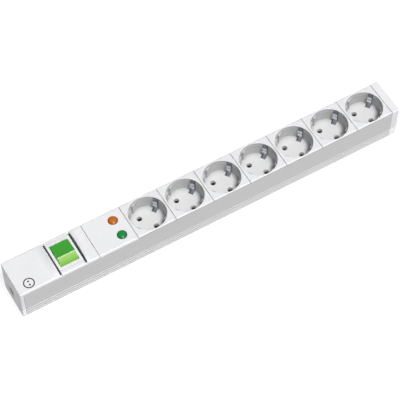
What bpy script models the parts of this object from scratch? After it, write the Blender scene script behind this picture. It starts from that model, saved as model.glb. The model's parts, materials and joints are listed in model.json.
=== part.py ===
"""A rack-style power strip: an aluminium channel closed by snap-in plastic modules.

From the left end (-X) to the right end (+X): an end cover that carries the mains switch, a surge
protection module with two indicator lamps, seven earthed round sockets and an end cap.
The frame's origin is the centre of the base, +X runs along the strip, +Z is up.
Sizes are in millimetres here and the helpers turn them into metres.
"""
import bpy
import bmesh
from math import asin, atan2, cos, pi, radians, sin, sqrt
from mathutils import Matrix, Vector

MM = 0.001
GAP = 0.3               # clearance between pieces that rest on each other

# overall
LENGTH = 440.0
WIDTH = 42.0
HEIGHT = 44.0           # base to the flat top, without the humps beside the switch
PITCH = 43.0            # one socket module
SOCKETS = 7
INDICATOR_LENGTH = 43.0
CAP_LENGTH = 8.7
SEAM = 0.4              # visible joint between two modules, half of it on each side
PLATE = 3.0             # thickness of every top plate
EDGE = 1.5              # rounding of the long top edges

# channel
UPPER_WALL = 1.0
LOWER_WALL = 2.0
FLOOR = 1.6
LEDGE = 16.0            # height where the wall gets thinner and leaves a shelf
RIBS = (4.5, 8.5, 12.5)
RIB_DEPTH = 0.6
FOOT = 2.6              # slope at the bottom edges
FLOOR_FILLET = 1.5      # slope in the inner bottom corners
HOOK_GROOVE = (11.0, 13.4)
HOOK_DEPTH = 0.6

# end cover and end cap
END_WALL = 3.6
SKIRT = 1.5
SKIRT_DROP = 9.0
BOSS = 4.0
BOSS_HEIGHT = 8.2
BOSS_LENGTH = 7.4
SCREW_RADIUS = 1.1
SCREW_HEAD = 2.4
SCREW_LENGTH = 8.6
CORD_HOLE = 5.4
CORD_Y = 3.0
CORD_Z = 16.0
CORD_RADIUS = 4.25
CLAMP_BACK = 2.2        # from the bush to the clamp
CLAMP_LENGTH = 6.0
CLAMP_HALF = 9.3
CLAMP_ROOM = 1.0        # how far each half of the clamp stays off the cord's middle
CLAMP_FOOT = 6.0        # height of the clamp screws' lower ends
CLAMP_BAR = 5.0
CLAMP_SCREW = 7.1
BLOCK = (14.0, 25.0, 14.0)    # terminal block: length, width and height of its top
POLES_Y = (-8.0, 0.0, 8.0)    # neutral, earth and live
TERMINAL_Z = 8.0
TERMINAL_SCREW = 1.9
NOTCH_Z = 21.0
NOTCH = (3.4, 0.9, 0.8)   # length, height and depth of the pry slot in each corner

# socket
RECESS_RADIUS = 19.5
RECESS_FOOT = 19.2
RECESS_DEPTH = 17.5
CUP_FLOOR = 2.2
CUP_WALL = 1.4
PIN_SPACING = 19.0
PIN_HOLE = 2.75
PIN_ANGLE = -55.0       # direction of the line through the two pin holes
GUIDE_CHORD = 17.0
GUIDE_DROP = 3.9
GUIDE_SLOT = 5.0
CLIP_WIDTH = 5.0
CLIP_THICKNESS = 0.6
CLIP_RADIUS = 18.9
CLIP_BULGE = 2.2
CLIP_DROP = 1.4         # from the rim down to the clip's upper end
CLIP_ROOM = 0.45        # behind the clip's arm
CLIP_TRAVEL = 3.4       # in front of the bulge: the window in the cup's floor that it springs in
HOOK_WIDTH = 12.0
HOOK_THICKNESS = 1.3

# bars under the sockets
BAR = 0.8
CONTACT_HALF = 2.4      # from a pin's axis to the contact leaf
CONTACT_LENGTH = 7.0
CONTACT_TOP = 21.5
BAR_TOP = 15.0
TRAY_BASE = 2.1
TRAY_RIB = 2.2
TRAY_HALF = 12.8
RAIL_HALF = 3.0

# switch
SWITCH_INSET = 59.0     # from the left end to the switch's centre
SWITCH_Y = 0.5
FLANGE = (26.0, 33.0, 1.1)
FLANGE_PROUD = 0.5
FRAME_BODY = (22.0, 29.0)
FRAME_BOTTOM = 22.0
FRAME_FLOOR = 2.2
OPENING = (20.2, 26.2)
ROCKER_WIDTH = 19.4
ROCKER_HALF = 12.2
ROCKER_EDGE = 4.7       # height of both end edges above the pivot
RIDGE_Y = -4.4
RIDGE_Z = 9.7
PIVOT_DROP = 4.0        # pivot below the flat top
REST_TILT = 6.0
TRUNNION = 1.5
POLE_OFFSET = 6.0
GUIDE_TUBE = (2.0, 2.8)
PLUNGER_TIP = 11.3
PLUNGER_TOP = 6.6
PLUNGER_RADIUS = 1.65
PLUNGER_CLEARANCE = 0.45
SPRING = (3, 1.4, 0.25, -6.0, 1.0)   # turns, radius, wire radius, and heights of both ends
LEVER = (4.4, 20.0, 0.8)
LEVER_TILT = 4.2
CONTACT_Y = 8.5
RIVET = (1.5, 0.8)      # radius, and height below the lever
BLADE = (4.4, 0.8)
BLADE_BOTTOM = 13.0
CONTACT_FOOT = 2.2      # half the width of the fixed contact
SLEEVE = (3.2, 1.6, 4.4, 5.0)   # half width and thickness, and reach below and above

# humps beside the switch
HUMP_RISE = 3.2
HUMP_INNER = 15.0       # from the switch's centre to the hump's upright wall
HUMP_LENGTH = (9.7, 7.3)  # left and right
HUMP_LIP = 0.05         # height of the hump's outer edge
GROOVE = 1.3
GROOVE_DEPTH = 1.6

# surge module
LENS_INSET = 12.4       # from the first socket to the lenses
LENS_Y = 9.5
LENS_RADIUS = 4.9
LENS_DOME = 1.6
BOARD = (2.2, 7.1, 1.6)   # distance to the modules on the left and right, and thickness
VARISTOR = (7.0, 4.4, 4.5, 7.0)   # radius, thickness, inset and spacing
DISCHARGE_TUBE = (3.0, 8.0)   # radius and length
THERMAL_FUSE = (2.0, 10.0)
SIDE_ROW = 13.0         # of the tube and the fuse beside the varistors
LAMP = (2.4, 3.0, 37.0)   # radius, foot radius and height of the top
WIRE = 1.3
THIN_WIRE = 0.7

# worked out from the sizes above
X_LEFT = -LENGTH / 2
X_RIGHT = LENGTH / 2
HALF = WIDTH / 2
X_CAP = X_RIGHT - CAP_LENGTH
X_SOCKETS = X_CAP - SOCKETS * PITCH
X_INDICATOR = X_SOCKETS - INDICATOR_LENGTH
PLATE_BOTTOM = HEIGHT - PLATE
WALL_TOP = PLATE_BOTTOM - GAP
INNER = HALF - UPPER_WALL
LOWER_INNER = HALF - LOWER_WALL
CHANNEL_LEFT = X_LEFT + END_WALL + GAP
CHANNEL_RIGHT = X_CAP + SEAM / 2 - GAP
SWITCH_X = X_LEFT + SWITCH_INSET
LENS_X = X_SOCKETS - LENS_INSET
RECESS_BOTTOM = HEIGHT - RECESS_DEPTH
CUP_BOTTOM = RECESS_BOTTOM - CUP_FLOOR
PIN_Y = PIN_SPACING / 2 * sin(radians(-PIN_ANGLE))
STRAP_Z = CUP_BOTTOM - GAP - CLIP_THICKNESS / 2
RAIL_TOP = STRAP_Z - CLIP_THICKNESS / 2 + 0.1
RAIL_BOTTOM = RAIL_TOP - BAR
TRAY_TOP = FLOOR + GAP + TRAY_BASE
BARS_LEFT = X_SOCKETS
BARS_RIGHT = X_CAP - 2.0
PIVOT_Z = HEIGHT - PIVOT_DROP
FLANGE_TOP = HEIGHT + FLANGE_PROUD
FLANGE_BOTTOM = FLANGE_TOP - FLANGE[2]
LEVER_TOP = PIVOT_Z - PLUNGER_TIP - PLUNGER_CLEARANCE
LEVER_Z = LEVER_TOP - LEVER[2]
FRAME_INNER = FRAME_BOTTOM + FRAME_FLOOR
BOARD_LEFT = X_INDICATOR + BOARD[0]
BOARD_RIGHT = X_SOCKETS - BOARD[1]
BOARD_BOTTOM = LEDGE + GAP
BOARD_TOP = BOARD_BOTTOM + BOARD[2]

for old in list(bpy.data.objects):
    bpy.data.objects.remove(old)


def collection(name):
    """A collection of that name, linked to the scene."""
    made = bpy.data.collections.new(name)
    bpy.context.scene.collection.children.link(made)
    return made


PARTS = collection("power_strip")
CUTTERS = collection("cutters")


def material(name, colour, roughness, metallic=0.0, alpha=1.0):
    """A Principled material of one colour."""
    made = bpy.data.materials.new(name)
    made.use_nodes = True
    shader = made.node_tree.nodes["Principled BSDF"]
    shader.inputs["Base Color"].default_value = (*colour, 1.0)
    shader.inputs["Roughness"].default_value = roughness
    shader.inputs["Metallic"].default_value = metallic
    shader.inputs["Alpha"].default_value = alpha
    return made


ALUMINIUM = material("anodised_aluminium", (0.62, 0.61, 0.62), 0.45, 0.7)
WHITE = material("white_plastic", (0.85, 0.85, 0.86), 0.4)
BRASS = material("brass", (0.72, 0.55, 0.25), 0.35, 1.0)
STEEL = material("plated_steel", (0.56, 0.58, 0.64), 0.3, 1.0)
GREEN = material("green_plastic", (0.08, 0.45, 0.05), 0.3)
ORANGE = material("orange_lens", (0.75, 0.25, 0.03), 0.15)
GREEN_LENS = material("green_lens", (0.0, 0.35, 0.12), 0.15)
BLACK = material("black_plastic", (0.03, 0.03, 0.03), 0.5)
GREY = material("grey_plastic", (0.4, 0.4, 0.42), 0.5)
BOARD_GREEN = material("circuit_board", (0.03, 0.2, 0.08), 0.5)
BLUE = material("blue_coating", (0.05, 0.15, 0.5), 0.4)
BROWN = material("brown_insulation", (0.2, 0.08, 0.03), 0.5)
EARTH = material("green_yellow_insulation", (0.35, 0.55, 0.05), 0.5)
GLASS = material("glass", (0.9, 0.9, 0.9), 0.05, 0.0, 0.4)
CERAMIC = material("ceramic", (0.75, 0.72, 0.68), 0.5)


# ---------------------------------------------------------------- shapes

def new_object(name, bm):
    """The bmesh as an object among the parts."""
    mesh = bpy.data.meshes.new(name)
    bm.to_mesh(mesh)
    bm.free()
    made = bpy.data.objects.new(name, mesh)
    PARTS.objects.link(made)
    return made


def box(name, x, y, z):
    """A box from its (low, high) pairs along X, Y and Z."""
    low = Vector((x[0], y[0], z[0])) * MM
    high = Vector((x[1], y[1], z[1])) * MM
    bm = bmesh.new()
    place = Matrix.Translation((low + high) / 2) @ Matrix.Diagonal((*(high - low), 1.0))
    bmesh.ops.create_cube(bm, size=1.0, matrix=place)
    return new_object(name, bm)


def cone(name, start, end, radius, end_radius=None, sides=24):
    """A cylinder, or a cone with its own end radius, from one point to another."""
    start = Vector(start) * MM
    end = Vector(end) * MM
    tip = radius if end_radius is None else end_radius
    turn = Vector((0, 0, 1)).rotation_difference(end - start).to_matrix().to_4x4()
    bm = bmesh.new()
    bmesh.ops.create_cone(
        bm, cap_ends=True, segments=sides, radius1=radius * MM, radius2=tip * MM,
        depth=(end - start).length, matrix=Matrix.Translation((start + end) / 2) @ turn)
    return new_object(name, bm)


def to_mesh(obj, place=None):
    """A curve object turned into a closed mesh object of the same name."""
    bpy.context.view_layer.update()
    evaluated = obj.evaluated_get(bpy.context.evaluated_depsgraph_get())
    mesh = bpy.data.meshes.new_from_object(evaluated)
    bm = bmesh.new()
    bm.from_mesh(mesh)
    bmesh.ops.remove_doubles(bm, verts=bm.verts, dist=1e-6)
    bmesh.ops.transform(bm, matrix=place or obj.matrix_world, verts=bm.verts)
    bmesh.ops.recalc_face_normals(bm, faces=bm.faces)
    bm.to_mesh(mesh)
    bm.free()
    name = obj.name
    bpy.data.objects.remove(obj)
    made = bpy.data.objects.new(name, mesh)
    PARTS.objects.link(made)
    return made


END_VIEW = Matrix(((0, 0, 1, 0), (1, 0, 0, 0), (0, 1, 0, 0), (0, 0, 0, 1)))   # outline in Y, Z


def prism(name, outline, low, high, view=None):
    """A flat outline given thickness from low to high along the view's normal."""
    curve = bpy.data.curves.new(name, "CURVE")
    curve.dimensions = "2D"
    curve.fill_mode = "BOTH"
    curve.extrude = (high - low) / 2 * MM
    spline = curve.splines.new("POLY")
    spline.points.add(len(outline) - 1)
    for point, (u, v) in zip(spline.points, outline):
        point.co = (u * MM, v * MM, 0, 1)
    spline.use_cyclic_u = True
    flat = bpy.data.objects.new(name, curve)
    PARTS.objects.link(flat)
    middle = (low + high) / 2 * MM
    if view is END_VIEW:
        place = Matrix.Translation((middle, 0, 0)) @ END_VIEW
    else:
        place = Matrix.Translation((0, 0, middle))
    return to_mesh(flat, place)


def rod(name, points, radius, resolution=2):
    """A round wire through the points."""
    curve = bpy.data.curves.new(name, "CURVE")
    curve.dimensions = "3D"
    curve.bevel_depth = radius * MM
    curve.bevel_resolution = resolution
    curve.use_fill_caps = True
    spline = curve.splines.new("POLY")
    spline.points.add(len(points) - 1)
    for point, place in zip(spline.points, points):
        point.co = (*(Vector(place) * MM), 1)
    made = bpy.data.objects.new(name, curve)
    PARTS.objects.link(made)
    return to_mesh(made)


def smooth_route(route, steps=3):
    """Points along a smooth curve through the route's own points."""
    points = [Vector(place) for place in route]
    points = [2 * points[0] - points[1], *points, 2 * points[-1] - points[-2]]
    along = []
    for a, b, c, d in zip(points, points[1:], points[2:], points[3:]):
        for step in range(steps):
            t = step / steps
            along.append(0.5 * (2 * b + (c - a) * t + (2 * a - 5 * b + 4 * c - d) * t * t
                                + (3 * b - a - 3 * c + d) * t ** 3))
    return [*along, points[-2]]


def turned(name, profile, centre, steps=24):
    """A profile of (radius, height) pairs, outer side first from the top, turned about Z."""
    bm = bmesh.new()
    corners = [bm.verts.new((r * MM, 0, z * MM)) for r, z in profile]
    for a, b in zip(corners, corners[1:]):
        bm.edges.new((a, b))
    made = new_object(name, bm)
    made.location = Vector((*centre, 0)) * MM
    screw = made.modifiers.new("Turn", "SCREW")
    screw.steps = steps
    screw.render_steps = steps
    screw.use_merge_vertices = True
    screw.merge_threshold = 1e-6
    return made


def put_away(tool, target):
    """A cutter leaves the parts, is only drawn as wire, and moves with what it shapes."""
    tool.parent = target
    for home in list(tool.users_collection):
        home.objects.unlink(tool)
    CUTTERS.objects.link(tool)
    tool.hide_render = True
    tool.display_type = "WIRE"


def combine(target, operation, *tools):
    """Cut, add or keep the common volume of each tool."""
    for tool in tools:
        step = target.modifiers.new(tool.name, "BOOLEAN")
        step.operation = operation
        step.object = tool
        put_away(tool, target)
    return target


def cut(target, *tools):
    return combine(target, "DIFFERENCE", *tools)


def fuse(target, *tools):
    return combine(target, "UNION", *tools)


def finish(obj, finish_material, smooth=None):
    """Give a part its material, and shade its round faces smooth."""
    obj.data.materials.clear()
    obj.data.materials.append(finish_material)
    if smooth:
        obj.data.shade_smooth()
        obj.data.set_sharp_from_angle(angle=radians(smooth))
    return obj


def settle(obj):
    """The evaluated mesh of an object, which is then removed."""
    bpy.context.view_layer.update()
    evaluated = obj.evaluated_get(bpy.context.evaluated_depsgraph_get())
    mesh = bpy.data.meshes.new_from_object(evaluated)
    mesh.transform(obj.matrix_world)
    bpy.data.objects.remove(obj)
    return mesh


def repeat(master, name, places):
    """Copies of a finished shape that share its mesh, numbered from the left."""
    mesh = settle(master)
    copies = []
    for number, x in enumerate(places, 1):
        copy = bpy.data.objects.new(f"{name}_{number}", mesh)
        copy.location.x = x * MM
        PARTS.objects.link(copy)
        copies.append(copy)
    return copies


def arc(centre, radius, start, end, steps):
    """Points on an arc, angles in degrees, both ends included."""
    turns = [radians(start + (end - start) * i / steps) for i in range(steps + 1)]
    return [(centre[0] + radius * cos(t), centre[1] + radius * sin(t)) for t in turns]


def mirrored(half):
    """An outline's right half (from the bottom up) closed with its mirror image."""
    return [*half, *[(-y, z) for y, z in reversed(half) if y != 0]]


def rounded_plate(name, low, high):
    """A top plate over the strip's whole width with rounded long edges."""
    half = [(HALF, PLATE_BOTTOM)] + arc((HALF - EDGE, HEIGHT - EDGE), EDGE, 0, 90, 3)
    return prism(name, mirrored(half), low, high, END_VIEW)


# ---------------------------------------------------------------- channel

def channel_outline():
    """The extruded section: a U with ribbed lower sides and an inner shelf."""
    outer = [(HALF - FOOT, 0), (HALF - RIB_DEPTH, FOOT - RIB_DEPTH)]
    for height in RIBS:
        outer += [(HALF - RIB_DEPTH, height - 1.3), (HALF, height - 0.7),
                  (HALF, height + 0.1), (HALF - RIB_DEPTH, height + 0.9)]
    groove_top = RIBS[-1] + 2.1
    outer += [(HALF - RIB_DEPTH, groove_top), (HALF, groove_top + RIB_DEPTH), (HALF, WALL_TOP)]
    low, high = HOOK_GROOVE
    inner = [(INNER, WALL_TOP), (INNER, LEDGE), (LOWER_INNER, LEDGE),
             (LOWER_INNER, high), (LOWER_INNER + HOOK_DEPTH, high - HOOK_DEPTH),
             (LOWER_INNER + HOOK_DEPTH, low), (LOWER_INNER, low),
             (LOWER_INNER, FLOOR + FLOOR_FILLET), (LOWER_INNER - FLOOR_FILLET, FLOOR)]
    return outer + inner


def housing_profile():
    half = channel_outline()
    outline = half + [(-y, z) for y, z in reversed(half)]
    channel = prism("housing_profile", outline, CHANNEL_LEFT, CHANNEL_RIGHT, END_VIEW)
    for index, (x, y) in enumerate(screw_places()):
        cut(channel,
            cone(f"screw_hole_{index}", (x, y, -1), (x, y, FLOOR + 1), SCREW_RADIUS + GAP,
                 sides=12),
            cone(f"screw_sink_{index}", (x, y, -0.01), (x, y, FLOOR - 0.1),
                 SCREW_HEAD + 2 * GAP, SCREW_RADIUS + 2 * GAP, 12))
    return finish(channel, ALUMINIUM)


def screw_places():
    """Where the end cover and the end cap are screwed to the channel's floor."""
    left = X_LEFT + END_WALL + BOSS_LENGTH / 2
    right = X_CAP - BOSS_LENGTH / 2
    y = LOWER_INNER - FLOOR_FILLET - BOSS / 2 - 0.2
    return [(x, side * y) for x in (left, right) for side in (-1, 1)]


def end_section(name, low, high):
    """A slice of the strip's outer section, ribs and all, used for both end pieces."""
    half = [(HALF - FOOT, 0), (HALF - RIB_DEPTH, FOOT - RIB_DEPTH)]
    for height in RIBS:
        half += [(HALF - RIB_DEPTH, height - 1.3), (HALF, height - 0.7),
                 (HALF, height + 0.1), (HALF - RIB_DEPTH, height + 0.9)]
    groove_top = RIBS[-1] + 2.1
    half += [(HALF - RIB_DEPTH, groove_top), (HALF, groove_top + RIB_DEPTH)]
    half += arc((HALF - EDGE, HEIGHT - EDGE), EDGE, 0, 90, 5)
    return prism(name, mirrored(half), low, high, END_VIEW)


def end_bosses(piece, wall, end):
    """Two screw bosses that reach from inside an end wall over the channel's floor."""
    low = FLOOR + GAP
    for x, y in screw_places():
        if x * wall < 0:
            continue
        tag = f"{piece.name}_{y:.0f}"
        fuse(piece, box(f"boss_{tag}", sorted((wall, end)), (y - BOSS / 2, y + BOSS / 2),
                        (low, low + BOSS_HEIGHT)))
        cut(piece, cone(f"boss_hole_{tag}", (x, y, low - 1), (x, y, SCREW_LENGTH + GAP),
                        SCREW_RADIUS + GAP, sides=12))


def corner_notches(piece, x_end, direction):
    """The short pry slots where the end piece's corners meet the ribbed part."""
    length, height, depth = NOTCH
    for side in (-1, 1):
        x = sorted((x_end - direction * 0.5, x_end + direction * length))
        y = sorted((side * (HALF - depth), side * (HALF + 1)))
        cut(piece, box(f"notch_{x_end:.0f}_{side}", x, y, (NOTCH_Z, NOTCH_Z + height)))


def end_cap_screws():
    """Countersunk screws up through the channel's floor into the bosses."""
    profile = [(0, SCREW_LENGTH), (SCREW_RADIUS, SCREW_LENGTH), (SCREW_RADIUS, FLOOR),
               (SCREW_HEAD, 0.2), (0.8, 0.2), (0.8, 0.9), (0, 0.9)]
    for number, place in enumerate(screw_places(), 1):
        finish(turned(f"end_cap_screw_{number}", profile, place, 12), STEEL, 40)


# ---------------------------------------------------------------- left end cover

def hump(name, inner, length, direction):
    """A guard beside the switch: it curves up from the plate to an upright inner wall."""
    columns, rows = 7, 8
    reach = HALF - EDGE - GAP
    bm = bmesh.new()
    bmesh.ops.create_grid(bm, x_segments=columns, y_segments=rows, size=0.5)
    for vert in bm.verts:
        t = vert.co.x + 0.5                    # 0 at the outer foot, 1 at the inner wall
        across = 2 * vert.co.y
        rise = HUMP_LIP + HUMP_RISE * min(t / 0.9, 1) ** 2 * (1 - across ** 2) ** 0.75
        vert.co.x = (inner + direction * length * (1 - t)) * MM
        vert.co.y = across * reach * MM
        vert.co.z = (HEIGHT + rise) * MM
    top = bm.faces[:]
    sides = bmesh.ops.extrude_face_region(bm, geom=top)
    for vert in (v for v in sides["geom"] if isinstance(v, bmesh.types.BMVert)):
        vert.co.z = (HEIGHT - 1.0) * MM
    bmesh.ops.recalc_face_normals(bm, faces=bm.faces)
    return new_object(name, bm)


def switch_end_cover():
    right = X_INDICATOR - SEAM / 2
    cover = rounded_plate("switch_end_cover", X_LEFT + END_WALL / 2, right)
    fuse(cover, end_section("cover_end_wall", X_LEFT, X_LEFT + END_WALL))
    for side, length in zip((-1, 1), HUMP_LENGTH):
        inner = SWITCH_X + side * HUMP_INNER
        fuse(cover, hump(f"hump_{side}", inner, length, side))
        near = inner - side * GROOVE
        cut(cover, box(f"groove_{side}", sorted((inner, near)), (-HALF - 1, HALF + 1),
                       (HEIGHT - GROOVE_DEPTH, HEIGHT + 5)))
    for side in (-1, 1):
        y = sorted((side * (INNER - GAP), side * (INNER - GAP - SKIRT)))
        fuse(cover, box(f"cover_skirt_{side}", (X_LEFT + END_WALL - 1, right - 2), y,
                        (PLATE_BOTTOM - SKIRT_DROP, PLATE_BOTTOM + 1)))
    wall = X_LEFT + END_WALL
    end_bosses(cover, wall - 1, wall + BOSS_LENGTH)
    corner_notches(cover, X_LEFT, 1)
    flange_x, flange_y, _ = FLANGE
    body_x, body_y = FRAME_BODY
    cut(cover,
        box("flange_pocket",
            (SWITCH_X - flange_x / 2 - GAP, SWITCH_X + flange_x / 2 + GAP),
            (SWITCH_Y - flange_y / 2 - GAP, SWITCH_Y + flange_y / 2 + GAP),
            (FLANGE_BOTTOM - GAP, HEIGHT + 5)),
        box("switch_cutout",
            (SWITCH_X - body_x / 2 - GAP, SWITCH_X + body_x / 2 + GAP),
            (SWITCH_Y - body_y / 2 - GAP, SWITCH_Y + body_y / 2 + GAP),
            (PLATE_BOTTOM - 2, HEIGHT + 5)),
        cone("cord_hole", (X_LEFT - 1, CORD_Y, CORD_Z), (X_LEFT + END_WALL + 1, CORD_Y, CORD_Z),
             CORD_HOLE + GAP, sides=32))
    return finish(cover, WHITE)


def right_end_cap():
    cap = end_section("right_end_cap", X_CAP + SEAM / 2, X_RIGHT)
    pocket = box("cap_pocket", (X_CAP - 1, X_RIGHT - END_WALL), (-INNER + 1.2, INNER - 1.2),
                 (FLOOR + 0.8, PLATE_BOTTOM - 1.2))
    cut(cap, pocket)
    end_bosses(cap, X_RIGHT - END_WALL + 1, X_CAP - BOSS_LENGTH)
    corner_notches(cap, X_RIGHT, -1)
    return finish(cap, WHITE)


def cord_entry():
    """A bush clipped into the end wall, and the clamp that grips the cord behind it."""
    inside = X_LEFT + END_WALL + GAP
    sleeve = cone("cord_bush", (X_LEFT + 0.4, CORD_Y, CORD_Z), (inside + 1.6, CORD_Y, CORD_Z),
                  CORD_HOLE, sides=32)
    collar = cone("bush_collar", (inside, CORD_Y, CORD_Z), (inside + 1.6, CORD_Y, CORD_Z),
                  CORD_HOLE + 1.6, sides=32)
    hole = cone("bush_hole", (X_LEFT - 1, CORD_Y, CORD_Z), (inside + 3, CORD_Y, CORD_Z),
                CORD_RADIUS, sides=32)
    finish(cut(fuse(sleeve, collar), hole), WHITE, 40)

    x = (inside + CLAMP_BACK, inside + CLAMP_BACK + CLAMP_LENGTH)
    y = (CORD_Y - CLAMP_HALF, CORD_Y + CLAMP_HALF)
    bar_bottom = CORD_Z + CLAMP_ROOM
    bar_top = bar_bottom + CLAMP_BAR
    base = box("clamp_base", x, y, (FLOOR + GAP, CORD_Z - CLAMP_ROOM))
    bar = box("clamp_bar", x, y, (bar_bottom, bar_top))
    middle = sum(x) / 2
    for piece in (base, bar):
        cut(piece, cone(f"{piece.name}_groove", (x[0] - 1, CORD_Y, CORD_Z),
                        (x[1] + 1, CORD_Y, CORD_Z), CORD_RADIUS, sides=24))
        for side in (-1, 1):
            place = CORD_Y + side * CLAMP_SCREW
            cut(piece, cone(f"{piece.name}_hole_{side}", (middle, place, CLAMP_FOOT),
                            (middle, place, bar_top + 3), SCREW_RADIUS + GAP, sides=12))
        finish(piece, GREY)
    top = bar_top + GAP
    foot = CLAMP_FOOT + GAP
    profile = [(0, top + 1.6), (2.3, top + 1.6), (2.6, top), (SCREW_RADIUS, top),
               (SCREW_RADIUS, foot), (0, foot)]
    for number, side in enumerate((-1, 1), 1):
        screw = turned(f"clamp_screw_{number}", profile, (middle, CORD_Y + side * CLAMP_SCREW), 12)
        finish(screw, STEEL, 40)
    return x[1]


def terminal_block(left):
    """Three poles side by side: a wire hole along X and a screw from above in each."""
    length, width, height = BLOCK
    x = (left, left + length)
    block = box("terminal_block", x, (-width / 2, width / 2), (FLOOR + GAP, height))
    middle = sum(x) / 2
    for number, y in enumerate(POLES_Y, 1):
        cut(block,
            cone(f"wire_hole_{number}", (x[0] - 1, y, TERMINAL_Z), (x[1] + 1, y, TERMINAL_Z),
                 WIRE + 0.6, sides=16),
            cone(f"screw_well_{number}", (middle, y, TERMINAL_Z), (middle, y, height + 1),
                 TERMINAL_SCREW + GAP, sides=16))
        top, tip = height - 1.4, TERMINAL_Z + WIRE + GAP
        profile = [(0, top), (TERMINAL_SCREW, top), (TERMINAL_SCREW, tip), (0, tip)]
        finish(turned(f"terminal_screw_{number}", profile, (middle, y), 12), STEEL, 40)
    finish(block, CERAMIC)
    return x[1]


# ---------------------------------------------------------------- switch

def switch_frame():
    flange_x, flange_y, _ = FLANGE
    body_x, body_y = FRAME_BODY
    open_x, open_y = OPENING
    flange = box("switch_frame", (SWITCH_X - flange_x / 2, SWITCH_X + flange_x / 2),
                 (SWITCH_Y - flange_y / 2, SWITCH_Y + flange_y / 2), (FLANGE_BOTTOM, FLANGE_TOP))
    fuse(flange, box("frame_body", (SWITCH_X - body_x / 2, SWITCH_X + body_x / 2),
                     (SWITCH_Y - body_y / 2, SWITCH_Y + body_y / 2),
                     (FRAME_BOTTOM, FLANGE_BOTTOM + 0.5)))
    cut(flange, box("frame_opening", (SWITCH_X - open_x / 2, SWITCH_X + open_x / 2),
                    (SWITCH_Y - open_y / 2, SWITCH_Y + open_y / 2), (FRAME_INNER, HEIGHT + 5)),
        cone("pivot_bore", (SWITCH_X - body_x, SWITCH_Y, PIVOT_Z),
             (SWITCH_X + body_x, SWITCH_Y, PIVOT_Z), TRUNNION + GAP, sides=16))
    for pole in (-1, 1):
        for y in (0, CONTACT_Y):
            slot_x = SWITCH_X + pole * POLE_OFFSET
            cut(flange, box(f"blade_slot_{pole}_{y:.0f}",
                            (slot_x - BLADE[0] / 2 - GAP, slot_x + BLADE[0] / 2 + GAP),
                            (SWITCH_Y + y - BLADE[1] / 2 - GAP, SWITCH_Y + y + BLADE[1] / 2 + GAP),
                            (FRAME_BOTTOM - 1, FRAME_INNER + 1)))
    return finish(flange, WHITE)


def on_pivot(obj, y, z, tilt):
    """Hang a part on its pivot: its origin is on the joint's axis, turned to rest."""
    obj.location = Vector((SWITCH_X, y, z)) * MM
    obj.rotation_euler.x = radians(tilt)
    return obj


def rocker():
    """Modelled about its pivot in its middle position: a roof with its ridge near one end."""
    outline = [(ROCKER_HALF, ROCKER_EDGE), (RIDGE_Y, RIDGE_Z), (-ROCKER_HALF, ROCKER_EDGE),
               (-ROCKER_HALF, -1.0), (-8.5, -4.0), (8.5, -4.0), (ROCKER_HALF, -1.0)]
    width = ROCKER_WIDTH / 2
    body = prism("rocker", outline, -width, width, END_VIEW)
    rim, bore = GUIDE_TUBE[1], GUIDE_TUBE[0]
    reach = OPENING[0] / 2 + 0.6
    fuse(body, cone("trunnions", (-reach, 0, 0), (reach, 0, 0), TRUNNION, sides=16))
    for pole in (-1, 1):
        x = pole * POLE_OFFSET
        fuse(body, cone(f"guide_tube_{pole}", (x, 0, -3), (x, 0, -8.5), rim, sides=16))
        cut(body, cone(f"guide_bore_{pole}", (x, 0, 1.5), (x, 0, -9), bore, sides=16))
    cut(body, box("lamp_pocket", (-2.9, 2.9), (-9.5, 9.5), (-5, 3)))
    return finish(on_pivot(body, SWITCH_Y, PIVOT_Z, REST_TILT), GREEN)


def plunger(name, pole):
    """A pin that slides in the rocker's guide tube and presses on a contact lever."""
    x = pole * POLE_OFFSET
    pin = cone(name, (x, 0, -PLUNGER_TOP), (x, 0, 1.4 - PLUNGER_TIP), PLUNGER_RADIUS, sides=12)
    fuse(pin, cone(f"{name}_tip", (x, 0, 1.5 - PLUNGER_TIP), (x, 0, -PLUNGER_TIP),
                   PLUNGER_RADIUS - 0.05, 0.6, 12))
    return finish(on_pivot(pin, SWITCH_Y, PIVOT_Z, REST_TILT), BLACK, 40)


def plunger_spring(name, pole):
    """The coil above a plunger, inside the guide tube."""
    points = []
    turns, radius, wire, low, high = SPRING
    around = 7
    for step in range(turns * around + 1):
        turn = 2 * pi * step / around
        height = low + (high - low) * step / (turns * around)
        points.append((pole * POLE_OFFSET + radius * cos(turn), radius * sin(turn), height))
    return finish(on_pivot(rod(name, points, wire), SWITCH_Y, PIVOT_Z, REST_TILT), STEEL, 40)


def contact_lever(name, pole):
    """A see-saw strip with a contact rivet, tipped by the plunger; its far end is down at rest."""
    wide, long, thick = LEVER
    x = pole * POLE_OFFSET
    strip = box(name, (x - wide / 2, x + wide / 2), (-long / 2, long / 2), (0, thick))
    radius, drop = RIVET
    fuse(strip, cone(f"{name}_rivet", (x, CONTACT_Y, 0.2), (x, CONTACT_Y, -drop), radius,
                     sides=16))
    return finish(on_pivot(strip, SWITCH_Y, LEVER_Z, -LEVER_TILT), BRASS)


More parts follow.
